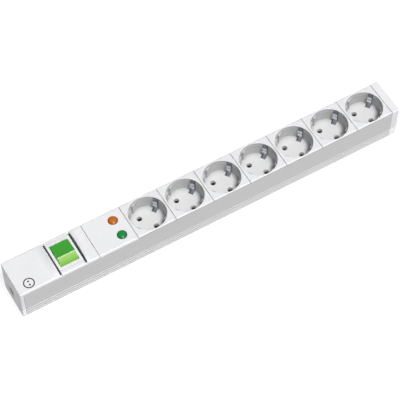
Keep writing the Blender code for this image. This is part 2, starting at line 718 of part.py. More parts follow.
def switch_terminals(line, pole):
    """Two blades to a pole: the lever's seat, and the fixed contact under its far end."""
    drop = CONTACT_Y * sin(radians(LEVER_TILT)) + RIVET[1] + GAP
    wide, thick = BLADE
    x = SWITCH_X + pole * POLE_OFFSET
    x_range = (x - wide / 2, x + wide / 2)
    seat = box(f"{line}_switch_seat", x_range,
               (SWITCH_Y - thick / 2, SWITCH_Y + thick / 2), (BLADE_BOTTOM, LEVER_Z - GAP))
    y = SWITCH_Y + CONTACT_Y
    outline = [(y - thick / 2, BLADE_BOTTOM), (y + thick / 2, BLADE_BOTTOM),
               (y + thick / 2, FRAME_INNER + GAP), (y + CONTACT_FOOT, FRAME_INNER + GAP),
               (y + CONTACT_FOOT, LEVER_Z - drop), (y - CONTACT_FOOT, LEVER_Z - drop),
               (y - CONTACT_FOOT, FRAME_INNER + GAP), (y - thick / 2, FRAME_INNER + GAP)]
    contact = prism(f"{line}_switch_contact", outline, *x_range, END_VIEW)
    return finish(seat, BRASS), finish(contact, BRASS)


def with_sleeve(lead, pole, y):
    """A lead ends in a push-on sleeve around one of the switch's blades."""
    wide, thick = BLADE
    across, deep, below, above = SLEEVE
    x = SWITCH_X + pole * POLE_OFFSET
    place = SWITCH_Y + y
    fuse(lead, box(f"{lead.name}_sleeve", (x - across, x + across), (place - deep, place + deep),
                   (BLADE_BOTTOM - below, BLADE_BOTTOM + above)))
    return cut(lead, box(f"{lead.name}_slot", (x - wide / 2 - GAP, x + wide / 2 + GAP),
                         (place - thick / 2 - GAP, place + thick / 2 + GAP),
                         (BLADE_BOTTOM - GAP, BLADE_BOTTOM + above + 1)))


def rocker_lamp():
    """A small lamp on the switch's floor, between the two poles."""
    profile = [(0, PIVOT_Z + 0.4), (1.2, PIVOT_Z), (1.9, PIVOT_Z - 1.2), (1.9, FRAME_INNER + 3),
               (2.3, FRAME_INNER + 3), (2.3, FRAME_INNER + GAP), (0, FRAME_INNER + GAP)]
    return finish(turned("rocker_lamp", profile, (SWITCH_X, SWITCH_Y), 16), GLASS, 40)


# ---------------------------------------------------------------- surge module

def indicator_cover():
    low, high = X_INDICATOR + SEAM / 2, X_SOCKETS - SEAM / 2
    cover = rounded_plate("indicator_cover", low, high)
    for side in (-1, 1):
        y = sorted((side * (INNER - GAP), side * (INNER - GAP - SKIRT)))
        fuse(cover, box(f"indicator_skirt_{side}", (low + 2, high - 2), y,
                        (BOARD_TOP + GAP, PLATE_BOTTOM + 1)))
        cut(cover, cone(f"lens_hole_{side}", (LENS_X, side * LENS_Y, PLATE_BOTTOM - 1),
                        (LENS_X, side * LENS_Y, HEIGHT + 1), LENS_RADIUS + 0.25, sides=32))
    return finish(cover, WHITE)


def lens(name, y, finish_material):
    """A domed cap with a sleeve and a collar under the cover."""
    sphere = (LENS_RADIUS ** 2 + LENS_DOME ** 2) / (2 * LENS_DOME)
    top = HEIGHT + LENS_DOME
    outer = []
    for step in range(6):
        angle = asin(LENS_RADIUS / sphere) * step / 5
        outer.append((sphere * sin(angle), top - sphere * (1 - cos(angle))))
    collar = PLATE_BOTTOM - GAP
    wall = LENS_RADIUS - 1.2
    profile = [*outer, (LENS_RADIUS, collar), (LENS_RADIUS + 1, collar),
               (LENS_RADIUS + 1, collar - 0.8), (wall, collar - 0.8), (wall, HEIGHT - 1.2),
               (0, HEIGHT - 0.6)]
    return finish(turned(name, profile, (LENS_X, y)), finish_material, 30)


def surge_parts():
    """The board on the channel's shelves and what is soldered to it."""
    finish(box("surge_board", (BOARD_LEFT, BOARD_RIGHT), (-INNER + GAP, INNER - GAP),
               (BOARD_BOTTOM, BOARD_TOP)), BOARD_GREEN)
    seat = BOARD_TOP + GAP
    radius, thickness, inset, spacing = VARISTOR
    for number in range(3):
        x = BOARD_LEFT + inset + number * spacing
        disc = cone(f"varistor_{number + 1}", (x - thickness / 2, 0, seat + radius),
                    (x + thickness / 2, 0, seat + radius), radius)
        finish(disc, BLUE, 40)
    start = BOARD_LEFT + 6.5
    for name, side, (radius, length), finish_material in (
            ("gas_discharge_tube", 1, DISCHARGE_TUBE, CERAMIC),
            ("thermal_fuse", -1, THERMAL_FUSE, WHITE)):
        y, z = side * SIDE_ROW, seat + radius
        finish(cone(name, (start, y, z), (start + length, y, z), radius), finish_material, 40)
    radius, foot, top = LAMP
    bulb = [(0, top), (radius * 0.6, top - 0.6), (radius, top - 2.5), (radius, seat + 4),
            (foot, seat + 4), (foot, seat), (0, seat)]
    finish(turned("orange_lamp", bulb, (LENS_X, LENS_Y), 16), GLASS, 40)
    finish(turned("green_lamp", bulb, (LENS_X, -LENS_Y), 16), GLASS, 40)


# ---------------------------------------------------------------- sockets

def along(angle, u, v):
    """A point given along and across a direction in the XY plane."""
    turn = radians(angle)
    return (u * cos(turn) - v * sin(turn), u * sin(turn) + v * cos(turn))


def guided_outline(radius):
    """The recess below its guide ledges: a circle with two slotted flats."""
    points = []
    open_angle = atan2(sqrt(radius ** 2 - GUIDE_CHORD ** 2), GUIDE_CHORD) * 180 / pi
    slot_angle = asin(GUIDE_SLOT / 2 / radius) * 180 / pi
    for side in (0, 180):
        turn = PIN_ANGLE + side
        points += [along(turn, GUIDE_CHORD, -GUIDE_SLOT / 2)]
        points += arc((0, 0), radius, turn - slot_angle, turn + slot_angle, 2)
        points += [along(turn, GUIDE_CHORD, GUIDE_SLOT / 2)]
        points += arc((0, 0), radius, turn + open_angle, turn + 180 - open_angle, 12)
    return points


def cup_outline():
    """The cup's outside: round, and flattened where the channel's walls are."""
    radius = RECESS_RADIUS + CUP_WALL
    flat = asin((INNER - 0.2) / radius) * 180 / pi
    return arc((0, 0), radius, -flat, flat, 10) + arc((0, 0), radius, 180 - flat, 180 + flat, 10)


def socket(places):
    half = (PITCH - SEAM) / 2
    body = rounded_plate("socket_plate", -half, half)
    fuse(body, prism("cup", cup_outline(), CUP_BOTTOM, PLATE_BOTTOM + 1))
    for side in (-1, 1):
        face = LOWER_INNER - GAP
        y = sorted((side * face, side * (face - HOOK_THICKNESS)))
        fuse(body, box(f"hook_{side}", (-HOOK_WIDTH / 2, HOOK_WIDTH / 2), y,
                       (HOOK_GROOVE[0] - 0.7, CUP_BOTTOM + 2)))
        low = HOOK_GROOVE[0] + GAP
        outline = [(side * (face - 0.5), low), (side * (face + HOOK_DEPTH), low),
                   (side * face, low + 1.2), (side * (face - 0.5), low + 1.2)]
        reach = HOOK_WIDTH / 2 - 0.5
        fuse(body, prism(f"barb_{side}", outline, -reach, reach, END_VIEW))
    guide_top = HEIGHT - GUIDE_DROP
    cut(body,
        cone("recess_top", (0, 0, guide_top), (0, 0, HEIGHT + 1), RECESS_RADIUS, sides=40),
        prism("recess_low", guided_outline(RECESS_FOOT), RECESS_BOTTOM, guide_top + 0.5))
    for side in (0, 180):
        x, y = along(PIN_ANGLE + side, PIN_SPACING / 2, 0)
        cut(body, cone(f"pin_hole_{side}", (x, y, CUP_BOTTOM - 1), (x, y, RECESS_BOTTOM + 1),
                       PIN_HOLE, sides=12))
        turn = PIN_ANGLE + 90 + side
        wide = CLIP_WIDTH / 2 + GAP
        inner = CLIP_RADIUS - CLIP_BULGE - CLIP_TRAVEL
        outer = CLIP_RADIUS + CLIP_THICKNESS / 2 + CLIP_ROOM
        slot = [along(turn, inner, -wide), along(turn, outer, -wide),
                along(turn, outer, wide), along(turn, inner, wide)]
        cut(body, prism(f"clip_slot_{side}", slot, CUP_BOTTOM - 1, HEIGHT - CLIP_DROP + 0.6))
    return [finish(copy, WHITE, 30) for copy in repeat(body, "socket", places)]


def earth_clip(name):
    """A spring strip under a cup with an arm up each side of the recess."""
    low = STRAP_Z
    high = HEIGHT - CLIP_DROP
    arm = []
    steps = 10
    for step in range(steps + 1):
        t = step / steps
        bulge = CLIP_BULGE * sin(2 * pi * max(t - 0.12, 0) / 0.88) ** 2 * (1 - 0.25 * t)
        arm.append((CLIP_RADIUS - bulge, low + (high - low) * t))
    path = [*reversed(arm), *[(-u, z) for u, z in arm]]
    bm = bmesh.new()
    rows = []
    for v in (-CLIP_WIDTH / 2, CLIP_WIDTH / 2):
        row = []
        for u, z in path:
            x, y = along(PIN_ANGLE + 90, u, v)
            row.append(bm.verts.new((x * MM, y * MM, z * MM)))
        rows.append(row)
    for a, b, c, d in zip(rows[0], rows[0][1:], rows[1][1:], rows[1]):
        bm.faces.new((a, b, c, d))
    strip = new_object(name, bm)
    solidify = strip.modifiers.new("Thickness", "SOLIDIFY")
    solidify.thickness = CLIP_THICKNESS * MM
    solidify.offset = 0.0
    return strip


# ---------------------------------------------------------------- bars and tray

def busbar(name, side, places):
    """A brass bar beside the pins with a U-shaped contact under each pin hole."""
    web = TRAY_TOP + GAP
    outer = side * (PIN_Y + CONTACT_HALF)
    inner = side * (PIN_Y - CONTACT_HALF)
    bar = box(name, (BARS_LEFT, BARS_RIGHT), sorted((outer, outer + side * BAR)),
              (web, BAR_TOP))
    x_pin = -side * PIN_SPACING / 2 * cos(radians(PIN_ANGLE))
    contact = [(outer + side * BAR, web), (outer + side * BAR, CONTACT_TOP),
               (outer, CONTACT_TOP), (outer, web + BAR), (inner, web + BAR),
               (inner, CONTACT_TOP), (inner - side * BAR, CONTACT_TOP),
               (inner - side * BAR, web)]
    for number, x in enumerate(places):
        middle = x + x_pin
        fuse(bar, prism(f"{name}_contact_{number}", contact, middle - CONTACT_LENGTH / 2,
                        middle + CONTACT_LENGTH / 2, END_VIEW))
    return finish(bar, BRASS)


def bar_tray():
    """The insulating tray: a rib for the earth rail and a kerb beside each bar."""
    kerb = PIN_Y + CONTACT_HALF + BAR + GAP
    bottom = FLOOR + GAP
    half = [(TRAY_HALF, bottom), (TRAY_HALF, TRAY_TOP), (kerb + 1.2, TRAY_TOP),
            (kerb + 1.2, BAR_TOP - 1), (kerb, BAR_TOP - 1), (kerb, TRAY_TOP),
            (TRAY_RIB, TRAY_TOP), (TRAY_RIB, RAIL_BOTTOM - GAP)]
    return finish(prism("bar_tray", mirrored(half), BARS_LEFT + 1, BARS_RIGHT, END_VIEW), GREY)


def earth_rail(places):
    """One rail under all the cups, with a spring strip riveted across it at each socket."""
    rail = box("earth_rail", (BARS_LEFT, BARS_RIGHT), (-RAIL_HALF, RAIL_HALF),
               (RAIL_BOTTOM, RAIL_TOP))
    for number, x in enumerate(places, 1):
        strip = earth_clip(f"earth_clip_{number}")
        strip.location.x = x * MM
        fuse(rail, strip)
    return finish(rail, STEEL, 50)


# ---------------------------------------------------------------- leads

def leads(block_right):
    """Wires from the terminal block through the switch to the bars, and from the board."""
    end = BARS_LEFT - 0.5
    start = block_right - 4
    z = BLADE_BOTTOM - 2.6
    live_x = SWITCH_X - POLE_OFFSET
    neutral_x = SWITCH_X + POLE_OFFSET
    load_y = SWITCH_Y + CONTACT_Y
    bar_y = PIN_Y + CONTACT_HALF + BAR / 2
    neutral_y, earth_y, live_y = POLES_Y
    block_z = TERMINAL_Z
    reach = 2.6
    rail_z = RAIL_BOTTOM + BAR / 2
    routes = {
        "live_lead": ([(start, live_y, block_z), (block_right + 3, live_y, block_z),
                       (live_x - 12, 4, 9.5), (live_x - 7, SWITCH_Y, z),
                       (live_x - reach, SWITCH_Y, z)], BROWN),
        "neutral_lead": ([(start, neutral_y, block_z), (block_right + 3, neutral_y, block_z),
                          (live_x - 8, -9, 9.5), (live_x + 1, -9, z), (neutral_x - 8, -5, z),
                          (neutral_x - 5, SWITCH_Y - 0.6, z), (neutral_x - reach, SWITCH_Y, z)],
                         BLUE),
        "switched_live_lead": ([(live_x + reach, load_y, z), (live_x + 6, load_y + 3, 9.6),
                                (neutral_x + 1, load_y + 5.5, 9), (X_INDICATOR - 7, 14.5, 8.5),
                                (X_INDICATOR + 13, 13, 8.5), (end - 10, 11, 9), (end - 3, bar_y, 9),
                                (end, bar_y, 9)], BROWN),
        "switched_neutral_lead": ([(neutral_x + reach, load_y, z), (neutral_x + 8, 8, 9.8),
                                   (X_INDICATOR - 5, 2, 9.2), (X_INDICATOR + 8, -6, 8.8),
                                   (end - 18, -10, 8.8),
                                   (end - 3, -bar_y, 9), (end, -bar_y, 9)], BLUE),
        "earth_lead": ([(start, earth_y, block_z), (block_right + 3, earth_y, block_z),
                        (live_x - 11, -3, 3.8), (SWITCH_X + 3, -3.6, 3.6),
                        (X_INDICATOR + 3, -3, 3.6), (end - 16, -1, 3.8), (end - 8, 0, 5),
                        (end - 3.5, 0, 10), (end - 3.2, 0, 16), (end - 2.8, 0, 20.5),
                        (end - 1.2, 0, rail_z), (end, 0, rail_z)], EARTH),
    }
    wires = {}
    for name, (route, finish_material) in routes.items():
        wires[name] = finish(rod(name, smooth_route(route), WIRE), finish_material, 40)
    with_sleeve(wires["live_lead"], -1, 0)
    with_sleeve(wires["neutral_lead"], 1, 0)
    with_sleeve(wires["switched_live_lead"], -1, CONTACT_Y)
    with_sleeve(wires["switched_neutral_lead"], 1, CONTACT_Y)
    top = BOARD_TOP + GAP + 0.15
    pad = BOARD_RIGHT - 1.2
    for name, side in (("surge_live_wire", 1), ("surge_neutral_wire", -1)):
        route = [(pad, side * 12, top), (pad, side * 12, top + 2),
                 (pad + 3, side * 11.8, top + 3.4), (end - 2.4, side * 11, 17),
                 (end - 1.2, side * bar_y, 13.3), (end, side * bar_y, 13)]
        finish(rod(name, smooth_route(route), THIN_WIRE), BLACK, 40)
    route = [(pad, 2.4, top), (pad, 2.4, top + 2), (pad + 3, 2.4, rail_z),
             (end - 2.4, 2.4, rail_z), (end, 2.3, rail_z)]
    finish(rod("surge_earth_wire", smooth_route(route), THIN_WIRE), EARTH, 40)


# ---------------------------------------------------------------- assembly

SOCKET_PLACES = [X_SOCKETS + PITCH * (k + 0.5) for k in range(SOCKETS)]

housing_profile()
switch_end_cover()
right_end_cap()
end_cap_screws()
clamp_right = cord_entry()
block_right = terminal_block(clamp_right + 3)
switch_frame()
rocker()
for line, pole in (("live", -1), ("neutral", 1)):
    plunger(f"{line}_plunger", pole)
    plunger_spring(f"{line}_plunger_spring", pole)
    contact_lever(f"{line}_contact_lever", pole)
    switch_terminals(line, pole)
rocker_lamp()
indicator_cover()
lens("orange_lens", LENS_Y, ORANGE)
lens("green_lens", -LENS_Y, GREEN_LENS)
surge_parts()
socket(SOCKET_PLACES)
busbar("live_busbar", 1, SOCKET_PLACES)
busbar("neutral_busbar", -1, SOCKET_PLACES)
bar_tray()
earth_rail(SOCKET_PLACES)
leads(block_right)
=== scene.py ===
"""The looks of the power strip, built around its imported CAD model.

Shapes are built in millimetres and scaled to the frame's metres when they become objects.
Sizes come from the CAD nodes' boxes where a box shows them, and are named here where it doesn't.
"""

import json
from math import asin, atan2, cos, degrees, exp, pi, radians, sin, sqrt

import bmesh
import bpy
from mathutils import Matrix, Vector

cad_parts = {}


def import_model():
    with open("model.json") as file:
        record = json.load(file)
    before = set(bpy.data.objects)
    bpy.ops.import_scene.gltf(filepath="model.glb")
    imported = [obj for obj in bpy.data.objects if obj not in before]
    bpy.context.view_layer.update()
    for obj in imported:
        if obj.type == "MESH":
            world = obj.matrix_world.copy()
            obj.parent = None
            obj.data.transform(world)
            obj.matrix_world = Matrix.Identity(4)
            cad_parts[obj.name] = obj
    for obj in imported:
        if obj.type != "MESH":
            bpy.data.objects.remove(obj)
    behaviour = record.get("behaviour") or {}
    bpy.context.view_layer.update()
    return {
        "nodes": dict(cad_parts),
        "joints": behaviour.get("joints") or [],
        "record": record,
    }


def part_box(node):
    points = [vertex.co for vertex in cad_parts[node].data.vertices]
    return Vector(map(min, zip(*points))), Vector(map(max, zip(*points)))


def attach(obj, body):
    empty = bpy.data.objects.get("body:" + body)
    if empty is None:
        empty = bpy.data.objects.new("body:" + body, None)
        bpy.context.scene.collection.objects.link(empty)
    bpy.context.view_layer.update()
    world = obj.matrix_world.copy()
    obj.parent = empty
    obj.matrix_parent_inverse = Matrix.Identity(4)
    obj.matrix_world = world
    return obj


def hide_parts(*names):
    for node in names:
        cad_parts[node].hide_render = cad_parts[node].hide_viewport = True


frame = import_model()
MM = 0.001


def limits(node):
    """Lowest and highest corner of a CAD node, in millimetres."""
    low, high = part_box(node)
    return low / MM, high / MM


# sizes read from the frame
cover_low, cover_high = limits("switch_end_cover")
cap_high = limits("right_end_cap")[1]
channel_low, channel_high = limits("housing_profile")
socket_low, socket_high = limits("socket_1")
indicator_low, indicator_high = limits("indicator_cover")
flange_low, flange_high = limits("switch_frame")
rocker_low, rocker_high = limits("rocker")
rail_low, rail_high = limits("earth_rail")
X_LEFT = cover_low.x
X_RIGHT = cap_high.x
HALF = cap_high.y
HEIGHT = cap_high.z
SOCKET_NODES = sorted(name for name in frame["nodes"] if name.startswith("socket_"))
SOCKET_X = [sum(corner.x for corner in limits(name)) / 2 for name in SOCKET_NODES]
SEAM = limits(SOCKET_NODES[1])[0].x - socket_high.x
X_CAP = limits(SOCKET_NODES[-1])[1].x + SEAM
JOINTS = {joint["name"]: joint for joint in frame["joints"]}
PIVOT = Vector(JOINTS["rocker_tilt"]["pos_m"]) / MM

# sizes of the visible details
PLATE = 3.0
EDGE = 1.5              # rounding of the long top edges
CORNER = 0.8            # rounding of the four upright corners, seen from above
END_EDGE = 0.4          # rounding of the end faces' upper and lower edges
RIBS = (4.5, 8.5, 12.5)
RIB_DEPTH = 0.5
FOOT = 2.6
END_WALL = 3.6
NOTCH_Z = 21.0
RECESS_RADIUS = 19.5
RECESS_FOOT = 19.2
RECESS_DEPTH = 17.5
GUIDE_DROP = 3.9
GUIDE_CHORD = 17.0
GUIDE_SLOT = 5.0
CUP_WALL = 1.4
CUP_FLOOR = 2.2
PIN_SPACING = 19.0
PIN_HOLE = 2.75
PIN_ANGLE = -55.0
CLIP_WIDTH = 5.0
CLIP_THICKNESS = 0.6
CLIP_RADIUS = 18.9
CLIP_BULGE = 2.2
CLIP_DROP = 1.4
CLIP_RIDGES = (0.44, 0.72)   # where the arm's two ridges are, as shares of its height
CLIP_RIDGE_WIDTH = 0.1
CLIP_WINDOW = 13.3      # inner end of the window in the cup's floor that shows the clip's foot
COLLAR = 2.4            # tube under the cup's floor around each pin hole
HUMP_RISE = 3.2
HUMP_INNER = 15.0
HUMP_LENGTH = {-1: 9.7, 1: 7.3}
GROOVE = 2.1
GROOVE_DEPTH = 2.2
OPENING = (20.2, 26.2)
FLANGE_THICKNESS = 1.1
BEARING = 1.8           # radius of the holes in the bezel that the rocker's axle turns in
CORD_HOLE = 5.7
CLIP_FOOT = HEIGHT - RECESS_DEPTH - CUP_FLOOR
LENS_RADIUS = (limits("orange_lens")[1].x - limits("orange_lens")[0].x) / 2 - 1
RIDGE_Y = -4.8          # where the rocker's painted highlight sits and its colour changes, beside its ridge
PIVOT_CENTRE = Vector(((flange_low.x + flange_high.x) / 2, PIVOT.y, PIVOT.z))
ALONG_X = (0.02, 1, 1)  # stretches a grain out along the extrusion


# ---------------------------------------------------------------- camera, light and floor

def camera():
    """Looks down on the strip from the switch end, through a long lens."""
    turn, rise, roll = radians(-30.730), radians(57.231), radians(0.449)
    distance = 1538.8
    target = Vector((-15.42, -13.32, HEIGHT))
    back = Vector((sin(turn) * cos(rise), -cos(turn) * cos(rise), sin(rise)))
    right = Vector((cos(turn), sin(turn), 0))
    up = back.cross(right)
    across = cos(roll) * right + sin(roll) * up
    upward = cos(roll) * up - sin(roll) * right
    place = Matrix((across, upward, back)).transposed().to_4x4()
    place.translation = (target + back * distance) * MM
    data = bpy.data.cameras.new("camera")
    data.sensor_width = 36.0
    data.lens = 138.8
    data.clip_end = 50.0
    made = bpy.data.objects.new("camera", data)
    made.matrix_world = place
    bpy.context.scene.collection.objects.link(made)
    bpy.context.scene.camera = made


def sun(name, towards, strength, spread, mirrored=True):
    """A soft distant light that shines from the direction towards."""
    data = bpy.data.lights.new(name, "SUN")
    data.energy = strength
    data.angle = radians(spread)
    made = bpy.data.objects.new(name, data)
    made.visible_glossy = mirrored
    made.rotation_mode = "QUATERNION"
    made.rotation_quaternion = Vector(towards).to_track_quat("Z", "Y")
    bpy.context.scene.collection.objects.link(made)


def seen_directly(nodes, links):
    """1 where the camera, a mirror or glass looks at the background."""
    path = nodes.new("ShaderNodeLightPath")
    value = path.outputs["Is Camera Ray"]
    for other in ("Is Glossy Ray", "Is Transmission Ray"):
        either = nodes.new("ShaderNodeMath")
        either.operation = "MAXIMUM"
        links.new(value, either.inputs[0])
        links.new(path.outputs[other], either.inputs[1])
        value = either.outputs[0]
    return value


def world():
    """A grey studio for light, and white where the camera or a mirror sees it."""
    made = bpy.data.worlds.new("studio")
    made.use_nodes = True
    nodes, links = made.node_tree.nodes, made.node_tree.links
    ground = nodes["Background"]
    ground.inputs["Color"].default_value = (0.95, 0.97, 1.0, 1)
    ground.inputs["Strength"].default_value = 0.17
    seen = nodes.new("ShaderNodeBackground")
    seen.inputs["Color"].default_value = (1, 1, 1, 1)
    seen.inputs["Strength"].default_value = 1.0
    mix = nodes.new("ShaderNodeMixShader")
    links.new(seen_directly(nodes, links), mix.inputs[0])
    links.new(ground.outputs[0], mix.inputs[1])
    links.new(seen.outputs[0], mix.inputs[2])
    links.new(mix.outputs[0], nodes["World Output"].inputs[0])
    bpy.context.scene.world = made


def floor():
    """A wide pale floor: it lights the sides softly and is near white to the camera."""
    bm = bmesh.new()
    bmesh.ops.create_grid(bm, x_segments=1, y_segments=1, size=6.0)
    mesh = bpy.data.meshes.new("studio_floor")
    bm.to_mesh(mesh)
    bm.free()
    made = bpy.data.objects.new("studio_floor", mesh)
    made.location.z = -0.2 * MM
    bpy.context.scene.collection.objects.link(made)
    surface = bpy.data.materials.new("studio_floor")
    surface.use_nodes = True
    nodes, links = surface.node_tree.nodes, surface.node_tree.links
    nodes.remove(nodes["Principled BSDF"])
    dull = nodes.new("ShaderNodeBsdfDiffuse")
    dull.inputs["Color"].default_value = (0.5, 0.5, 0.5, 1)
    pale = nodes.new("ShaderNodeBsdfDiffuse")
    pale.inputs["Color"].default_value = (0.24, 0.24, 0.25, 1)
    glow = nodes.new("ShaderNodeEmission")
    glow.inputs["Color"].default_value = (1, 1, 1, 1)
    glow.inputs["Strength"].default_value = 0.82
    add = nodes.new("ShaderNodeAddShader")
    mix = nodes.new("ShaderNodeMixShader")
    links.new(pale.outputs[0], add.inputs[0])
    links.new(glow.outputs[0], add.inputs[1])
    links.new(seen_directly(nodes, links), mix.inputs[0])
    links.new(dull.outputs[0], mix.inputs[1])
    links.new(add.outputs[0], mix.inputs[2])
    links.new(mix.outputs[0], nodes["Material Output"].inputs[0])
    made.data.materials.append(surface)


# ---------------------------------------------------------------- materials

def shader_of(name, roughness, metallic=0.0):
    """A new material, its Principled shader and its node tree."""
    made = bpy.data.materials.new(name)
    made.use_nodes = True
    shader = made.node_tree.nodes["Principled BSDF"]
    shader.inputs["Roughness"].default_value = roughness
    shader.inputs["Metallic"].default_value = metallic
    return made, shader, made.node_tree


def noise(tree, scale, stretch=(1, 1, 1), detail=3.0):
    """Noise over the object's own coordinates; stretch draws it out along an axis."""
    place = tree.nodes.new("ShaderNodeTexCoord")
    mapping = tree.nodes.new("ShaderNodeMapping")
    mapping.inputs["Scale"].default_value = stretch
    texture = tree.nodes.new("ShaderNodeTexNoise")
    texture.inputs["Scale"].default_value = scale
    texture.inputs["Detail"].default_value = detail
    tree.links.new(place.outputs["Object"], mapping.inputs[0])
    tree.links.new(mapping.outputs[0], texture.inputs["Vector"])
    return texture.outputs["Fac"]


def ramp(tree, value, stops, output=None):
    """A colour ramp of (position, colour) stops over a value."""
    made = tree.nodes.new("ShaderNodeValToRGB")
    band = made.color_ramp
    while len(band.elements) < len(stops):
        band.elements.new(0.5)
    for element, (position, colour) in zip(band.elements, stops):
        element.position = position
        element.color = (*colour, 1)
    tree.links.new(value, made.inputs[0])
    if output is not None:
        tree.links.new(made.outputs[0], output)
    return made.outputs[0]


def grey(level):
    return (level, level, level)


def bump(tree, shader, value, height):
    """A fine relief, its height in metres."""
    made = tree.nodes.new("ShaderNodeBump")
    made.inputs["Strength"].default_value = 1.0
    made.inputs["Distance"].default_value = height
    tree.links.new(value, made.inputs["Height"])
    tree.links.new(made.outputs[0], shader.inputs["Normal"])


def shades(colour, spread):
    """A darker and a lighter version of a colour."""
    return [(0.3, [c * (1 - spread) for c in colour]), (0.7, [min(c * (1 + spread), 1) for c in colour])]


def plastic(name, colour, roughness, spread=0.015, grain=1500.0, relief=0.00001, coat=0.0):
    """Moulded plastic: a fine spark-eroded grain, with slightly uneven colour and gloss."""
    made, shader, tree = shader_of(name, roughness)
    ramp(tree, noise(tree, 60.0), shades(colour, spread), shader.inputs["Base Color"])
    ramp(tree, noise(tree, 220.0), [(0.3, grey(roughness * 0.85)), (0.7, grey(roughness * 1.15))],
         shader.inputs["Roughness"])
    bump(tree, shader, noise(tree, grain), relief)
    shader.inputs["Coat Weight"].default_value = coat
    shader.inputs["Coat Roughness"].default_value = 0.12
    return made


def metal(name, colour, roughness, stretch=(1, 1, 1), relief=0.000006, metallic=1.0, spread=0.05):
    """Metal with a grain drawn out along the direction that it was rolled or extruded in."""
    made, shader, tree = shader_of(name, roughness, metallic)
    lines = noise(tree, 900.0, stretch, 2.0)
    ramp(tree, lines, shades(colour, spread), shader.inputs["Base Color"])
    ramp(tree, lines, [(0.3, grey(roughness * 0.8)), (0.7, grey(roughness * 1.25))],
         shader.inputs["Roughness"])
    bump(tree, shader, lines, relief)
    return made


def clip_metal(name):
    """Nickel-plated contact strip in a dull tone, with painted highlights on the two ridges that plugs rub
    and painted shade towards its top.
    """
    made, shader, tree = shader_of(name, 0.25, 1.0)
    height = along_axis(tree, "Z", CLIP_FOOT, HEIGHT - CLIP_DROP)
    first, second = CLIP_RIDGES
    # painted light along the arm's height: painted highlights on the ridges, greyer bands beside them,
    # painted shade at the top
    dull, painted_top_shade, painted_highlight = (0.46, 0.46, 0.5), (0.2, 0.2, 0.23), (0.9, 0.93, 1.0)
    stops = [(0.0, dull), (0.22, dull), (first - 0.1, (0.33, 0.33, 0.38)), (first + 0.02, painted_highlight),
             (first + 0.1, (0.4, 0.41, 0.46)), (second - 0.06, (0.36, 0.37, 0.42)), (second + 0.02, painted_highlight),
             (second + 0.09, painted_top_shade), (1.0, painted_top_shade)]
    ramp(tree, height, stops, shader.inputs["Base Color"])
    lines = noise(tree, 900.0, (1, 1, 0.06), 2.0)
    ramp(tree, lines, [(0.3, grey(0.16)), (0.7, grey(0.3))], shader.inputs["Roughness"])
    bump(tree, shader, lines, 0.000004)
    return made


def clear_glass(name):
    made, shader, tree = shader_of(name, 0.06)
    ramp(tree, noise(tree, 400.0), shades((0.92, 0.9, 0.86), 0.03), shader.inputs["Base Color"])
    bump(tree, shader, noise(tree, 700.0), 0.000004)
    shader.inputs["Transmission Weight"].default_value = 0.8
    shader.inputs["IOR"].default_value = 1.5
    return made


def circuit_board(name):
    """Green lacquer over copper tracks."""
    made, shader, tree = shader_of(name, 0.35)
    place = tree.nodes.new("ShaderNodeTexCoord")
    tracks = tree.nodes.new("ShaderNodeTexBrick")
    tracks.inputs["Scale"].default_value = 260.0
    tracks.inputs["Color1"].default_value = (0.02, 0.17, 0.06, 1)
    tracks.inputs["Color2"].default_value = (0.03, 0.22, 0.08, 1)
    tracks.inputs["Mortar"].default_value = (0.07, 0.32, 0.12, 1)
    tree.links.new(place.outputs["Object"], tracks.inputs["Vector"])
    tree.links.new(tracks.outputs["Color"], shader.inputs["Base Color"])
    bump(tree, shader, tracks.outputs["Fac"], 0.00003)
    return made


def striped_insulation(name):
    """The earth wires' green and yellow insulation."""
    made, shader, tree = shader_of(name, 0.45)
    place = tree.nodes.new("ShaderNodeTexCoord")
    wave = tree.nodes.new("ShaderNodeTexWave")
    wave.bands_direction = "DIAGONAL"
    wave.inputs["Scale"].default_value = 60.0
    tree.links.new(place.outputs["Object"], wave.inputs["Vector"])
    ramp(tree, wave.outputs["Fac"], [(0.45, (0.72, 0.62, 0.03)), (0.55, (0.03, 0.3, 0.05))],
         shader.inputs["Base Color"])
    bump(tree, shader, noise(tree, 900.0), 0.00001)
    return made


def along_axis(tree, axis, low, high):
    """0 at low and 1 at high along an axis, in millimetres of the object's own frame."""
    place = tree.nodes.new("ShaderNodeTexCoord")
    split = tree.nodes.new("ShaderNodeSeparateXYZ")
    spread = tree.nodes.new("ShaderNodeMapRange")
    spread.inputs["From Min"].default_value = low * MM
    spread.inputs["From Max"].default_value = high * MM
    tree.links.new(place.outputs["Object"], split.inputs[0])
    tree.links.new(split.outputs[axis], spread.inputs["Value"])
    return spread.outputs[0]


def from_middle(tree, near, far):
    """0 at near and 1 at far from the object's own upright axis, in millimetres."""
    place = tree.nodes.new("ShaderNodeTexCoord")
    level = tree.nodes.new("ShaderNodeVectorMath")
    level.operation = "MULTIPLY"
    level.inputs[1].default_value = (1, 1, 0)
    length = tree.nodes.new("ShaderNodeVectorMath")
    length.operation = "LENGTH"
    spread = tree.nodes.new("ShaderNodeMapRange")
    spread.inputs["From Min"].default_value = near * MM
    spread.inputs["From Max"].default_value = far * MM
    tree.links.new(place.outputs["Object"], level.inputs[0])
    tree.links.new(level.outputs[0], length.inputs[0])
    tree.links.new(length.outputs["Value"], spread.inputs["Value"])
    return spread.outputs[0]


